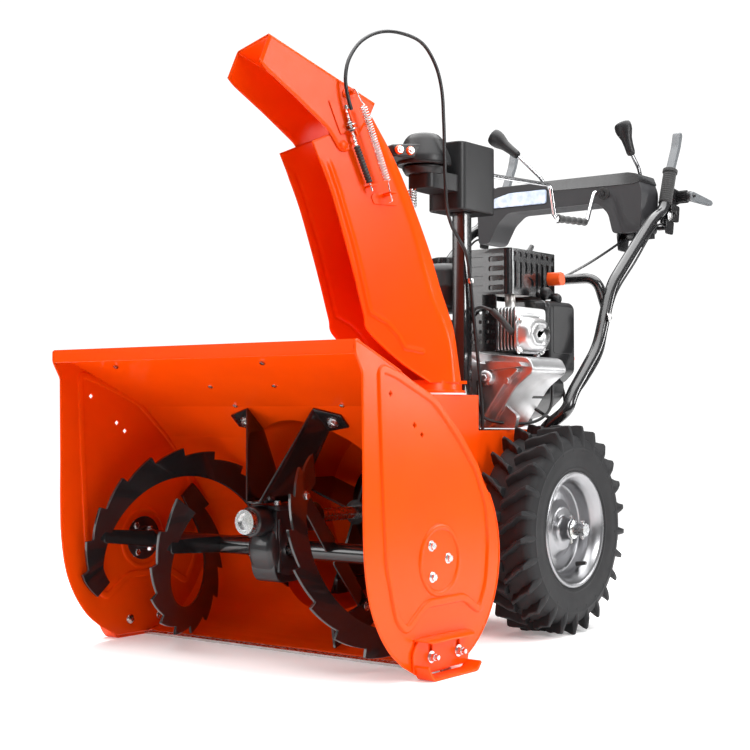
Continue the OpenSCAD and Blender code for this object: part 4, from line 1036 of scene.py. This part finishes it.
HANDLE_LINE = [[191.4, 828, 330], [191.4, 836, 396], [250, 846, 440], [250, 866, 474], [250, 978, 574],
               [250, 1040, 712], [250, 1240, 880], [250, 1300, 903], [250, 1336, 1004]]


def grip_sleeve():
    """Sleeve over the tube's top end: fine ribs under a wide flange, closed at the top."""
    t = np.linspace(0, 1, 90)
    path = np.array([250, 1306, 920]) + t[:, None] * np.array([30, 84]) @ np.array([[0, 1, 0], [0, 0, 1]])
    radius = 15.3 + 0.35 * np.sin(t * 2 * math.pi * 16)
    radius[:4], radius[-9:-1], radius[-1] = [13.4, 14.6, 15.8, 16], 17.6, 16.5
    return tube(path, radius, 36)


def clutch_bracket():
    """Bracket plates, their bolts and the lever's stop behind the handle's bend."""
    plate = rounded([[1284, 874], [1322, 870], [1348, 892], [1348, 920], [1316, 924]], 6, 4, True)
    return merge(slab(plate, 246, 254),
                 slab(rounded([[1296, 850], [1332, 850], [1338, 880], [1296, 884]], 5, 4, True), 254, 258),
                 tube([[218, 1336, 908], [256, 1336, 908]], 4, 16), box([224, 1308, 862], [254, 1326, 870]))


def paddle():
    """Clutch blade: its curved outline in Y and Z, rounded, carried across the hand."""
    blade = rounded([[1334, 902], [1344, 908], [1374, 990], [1416, 1068], [1427, 1100], [1422, 1107],
                     [1413, 1106], [1402, 1070], [1364, 996], [1331, 914]], 7, 6, True)
    return merge(slab(blade, 219.5, 239.5), turned(oblong(4.3, 0, 9, 25), [220.6, 1336, 908], [1, 0, 0],
                                               28, True))


for side, turn in SIDES:
    handle = rounded(HANDLE_LINE, 34, 9)
    make(f"handle_tube_{side}", turn(tube(handle, 13, 24)), "chassis", BLACK_COAT, f"handlebar_{side}",
         smooth=60)
    make(f"handle_grip_{side}", turn(grip_sleeve()), "chassis", SOFT_GRIP, smooth=50)
    make(f"clutch_bracket_{side}", turn(clutch_bracket()), "chassis", BLACK_COAT, bevel=1)
    make(f"handle_bolts_{side}",
         turn(merge(*[bolt([203.6, y, z], [1, 0, 0], 12, 4, 1) for y, z in ((830, 346), (835, 386))],
                    bolt([264, 1300, 890], [1, 0, 0], 12, 6, 1.5),
                    bolt([264, 1000, 640], [1, 0.4, 0.2], 12, 7, 1.5))), "chassis", ZINC)
    make(f"clutch_paddle_{side}", turn(paddle()), f"{side}_clutch", LEVER_GREY, f"clutch_lever_{side}",
         bevel=2, steps=3)
wheel_teeth = np.arange(120) * 2 * math.pi / 120
knurled = 14.2 + 0.9 * np.sign(np.sin(wheel_teeth * 20))
hub_ring = np.stack([1362 + knurled * np.cos(wheel_teeth), 942 + knurled * np.sin(wheel_teeth)], -1)
hub = slab(hub_ring, 259.5, 280)
make("thumb_lever_hub",
     merge(hub,
           turned(rounded([[0, 14], [9, 14], [12, 10], [12, 0], [0, 0]], 2, 3), [280, 1362, 942], [1, 0, 0],
                  28)), "thumb_control", BLACK_PLASTIC, "thumb_lever")
make("thumb_lever_blade",
     slab(rounded([[1352, 934], [1362, 930], [1466, 930], [1473.4, 936], [1468, 943], [1366, 953],
                   [1352, 950]], 5, 5, True), 284, 295.6), "thumb_control", LEVER_GREY, bevel=2.4, steps=3)
make("thumb_lever_bracket", merge(
    slab(rounded([[1312, 918], [1334, 916], [1376, 930], [1376, 956], [1330, 962]], 6, 4, True), 252, 258),
    slab(rounded([[1310, 880], [1350, 880], [1356, 918], [1312, 922]], 6, 4, True), 258, 264),
    bolt([264, 1330, 900], [1, 0, 0], 11, 6, 1.4), tube([[252, 1362, 942], [300, 1362, 942]], 4, 16)),
    "chassis", BLACK_COAT, bevel=1)
brace = rounded([[-238, 1034, 668], [-230, 1012, 728], [230, 1012, 728], [238, 1034, 668]], 34, 10)
make("handle_cross_tube", tube(brace, 11, 24, (0, 1, 0.05)), "chassis", BLACK_COAT, "cross_brace",
     smooth=60)

front = [[-222, 852], [-192, 852], [-165, 900], [-135, 924], [112, 926], [138, 900], [150, 852], [222, 852],
         [226, 948], [212, 985], [190, 990], [-170, 990], [-205, 968], [-226, 940]]
housing = make("console_housing", slab(rounded(front, 10, 5, True), 1236, 1322, "y"), "chassis",
               CONSOLE_PLASTIC, "console", bevel=6, steps=4)
cut(housing,
    slab(rounded([[-184, 937], [-26, 937], [-26, 973], [-130, 973], [-178, 962]], 7, 4, True), 1228, 1246,
         "y"), slab(oblong(-73, 1262, -47, 1318), 970, 1000, "z"),
    slab(oblong(191, 1256, 205, 1314), 966, 1000, "z"), tube([[128, 1230, 947], [128, 1250, 947]], 10, 28),
    tube([[250, 1200, 846.4], [250, 1240, 880], [250, 1300, 903], [250, 1322, 964]], 14, 20))
make("headlight_cover",
     slab(rounded([[-183, 938], [-27, 938], [-27, 972], [-130, 972], [-177, 961.4]], 6, 5, True), 1233.5,
          1242, "y"), "chassis", LAMP_LENS, "headlight_lens", bevel=1.6, steps=3)
band = make("console_top_band",
            slab(rounded([[-20, 967], [205, 964], [221, 968], [213, 987], [192, 991.6], [-34, 991.6]], 3, 3,
                         True), 1234.6, 1323.4, "y"), "chassis", BLACK_COAT, (), bevel=5,
            steps=3)
cut(band, slab(oblong(191, 1256, 205, 1314), 960, 1000, "z"))
make("crank_grommet",
     turned(rounded([[5.6, -3], [14, -3], [15.5, 0], [14, 3], [9.5, 5], [5.6, 5]], 1, 3, True),
            [128, 1235, 947], [0, 1, 0.04], 40, True), "chassis", SOFT_GRIP)


def knob(foot, top, wide=21.0, flat=0.66):
    """Lever knob: oval sections along its axis, a slim neck that swells into a flat-topped head."""
    foot, top = np.asarray(foot, float), np.asarray(top, float)
    axis = unit(top - foot)
    e1 = unit(np.cross(axis, [0, 1, 0]))
    e2 = np.cross(axis, e1)
    t = np.array([0, 0.02, 0.08, 0.3, 0.5, 0.62, 0.72, 0.82, 0.92, 0.97, 0.995])
    r = np.array([5, 7.4, 8.6, 9.4, 11.2, 14.4, 17, 18, 17.4, 15.4, 11]) * wide / 18
    thick = np.array([1, 1, 1, 0.95, 0.86, 0.76, 0.7, flat, flat, flat, flat])
    a = np.linspace(0, 2 * math.pi, 32, endpoint=False)[None, :, None]
    along = (foot + t[:, None] * (top - foot))[:, None]
    return loft(along + r[:, None, None] * np.cos(a) * e1 + (r * thick)[:, None, None] * np.sin(a) * e2)


for name, body, x, foot, top, node in (
        ("deflector", "deflector_control", -60, (-98, 1224, 1059), (-172, 1220, 1118), "deflector_lever"),
        ("speed", "speed_control", 198, (208, 1222, 1028), (184, 1220, 1106), "speed_lever")):
    make(f"{name}_lever_knob", knob(foot, top), body, BLACK_PLASTIC, node, smooth=50)
    into = np.add(foot, np.subtract(top, foot) * 0.12)
    make(f"{name}_lever_rod",
         merge(tube(rounded([[x, 1290, 955], [x, 1284, 1000], into], 30, 10), 4.4, 16),
               turned(oblong(0, 0, 11, 7), [x - 8, 1290, 955], [1, 0, 0], 24),
               turned([[0, 2], [2.4, 1.6], [2.8, 0], [0, 0]],
                      np.add(foot, np.subtract(top, foot) * 0.7) + [0, -10.6, 0], [0, -1, 0], 16)), body,
         BRIGHT_ROD)
CLUTCH_CABLE = [[250, 1318, 868], [250, 1258, 862], [250, 1152, 772], [250, 1064, 698], [250, 1024, 630],
                [248, 998, 562], [240, 945, 502], [225, 908, 460], [205, 896, 425], [190, 892, 395],
                [183, 890, 360], [178, 884, 330]]
clutch_path = through(CLUTCH_CABLE, 140)
for side, turn in SIDES:
    make(f"clutch_cable_{side}", turn(tube(clutch_path, 2.5, 10)), "chassis", CABLE_SLEEVE,
         "control_cables" if side == "left" else (), smooth=60)
speed_rod = through([[170, 1270, 846], [168, 1230, 826], [165, 1100, 772], [150, 975, 722]], 40)
make("speed_link",
     merge(tube(speed_rod, 2.8, 12),
           slab(rounded([[1246, 812], [1284, 812], [1300, 852], [1240, 852]], 5, 4, True), 158, 163),
           slab(rounded([[1250, 822], [1300, 822], [1312, 852], [1246, 852]], 5, 4, True), 196, 200),
           box([158, 1262, 840], [226, 1302, 853])), "chassis", BLACK_COAT, bevel=0.8)


# ---- light, floor and camera ----

floor = bpy.data.meshes.new("studio_floor")
floor.from_pydata([(-2.4, -2.2, 0), (1.6, -2.2, 0), (1.6, 1.9, 0), (-2.4, 1.9, 0)], [], [(0, 1, 2, 3)])
pale = bpy.data.materials.new("pale_floor")
pale.use_nodes = True
for entry, value in (("Base Color", (0.94, 0.94, 0.94, 1)), ("Emission Color", (1, 1, 1, 1)),
                     ("Emission Strength", 0.22), ("Roughness", 0.85)):
    pale.node_tree.nodes["Principled BSDF"].inputs[entry].default_value = value
floor.materials.append(pale)
add_object("studio_floor", floor)

world = bpy.data.worlds.new("studio")
world.use_nodes = True
nodes, link = world.node_tree.nodes, world.node_tree.links.new
sky = nodes["Background"]
sky.inputs["Strength"].default_value = 0.4
heading = nodes.new("ShaderNodeTexCoord")
split = nodes.new("ShaderNodeSeparateXYZ")
fade = nodes.new("ShaderNodeValToRGB")
fade.color_ramp.elements[0].position, fade.color_ramp.elements[0].color = 0.0, (0.10, 0.10, 0.10, 1)
fade.color_ramp.elements[1].position, fade.color_ramp.elements[1].color = 0.75, (1, 1, 1, 1)
link(heading.outputs["Generated"], split.inputs[0])
link(split.outputs["Z"], fade.inputs["Fac"])
link(fade.outputs["Color"], sky.inputs["Color"])
seen = nodes.new("ShaderNodeBackground")
seen.inputs["Color"].default_value = (1, 1, 1, 1)
seen.inputs["Strength"].default_value = 1.1
rays = nodes.new("ShaderNodeLightPath")
choose = nodes.new("ShaderNodeMixShader")
link(rays.outputs["Is Camera Ray"], choose.inputs[0])
link(sky.outputs[0], choose.inputs[1])
link(seen.outputs[0], choose.inputs[2])
link(choose.outputs[0], nodes["World Output"].inputs[0])
bpy.context.scene.world = world
bpy.context.scene.view_settings.view_transform = "Standard"


def looking(place, back):
    """Matrix of a lamp or camera at a place: its Z along `back`, its X level, its Y square to both."""
    side = unit(np.cross([0, 0, 1], back))
    return Matrix(np.column_stack([side, np.cross(back, side), back, place]).tolist() + [[0, 0, 0, 1]])


def softbox(name, place, target, size, power):
    """An area lamp at a place, facing a target."""
    lamp = bpy.data.lights.new(name, "AREA")
    lamp.shape, lamp.size, lamp.size_y, lamp.energy = "RECTANGLE", *size, power
    add_object(name, lamp).matrix_world = looking(place, unit(np.subtract(place, target)))


softbox("key", (3.4, -0.6, 1.9), (0, -0.1, 0.5), (0.9, 1.4), 66)
softbox("side", (2.75, 2.75, 0.95), (0.36, -0.5, 0.4), (0.7, 0.9), 30)
softbox("top", (-0.1, 0.2, 4.4), (-0.1, 0.1, 0), (7, 7), 640)
softbox("front", (-2.2, -3.2, 1.5), (0, 0, 0.5), (0.8, 1.4), 18)

lens = bpy.data.cameras.new("studio_camera")
lens.sensor_width, lens.lens = 36, 69.27
lens.shift_y = -0.0274
lens.clip_start, lens.clip_end = 0.05, 100
camera = add_object("studio_camera", lens)
heading, lift = math.radians(37.26), math.radians(2.22)
back = np.array([math.sin(heading) * math.cos(lift), -math.cos(heading) * math.cos(lift), -math.sin(lift)])
camera.matrix_world = looking((1.7382, -2.50306, 0.44001), back)
bpy.context.scene.camera = camera

bpy.context.view_layer.update()
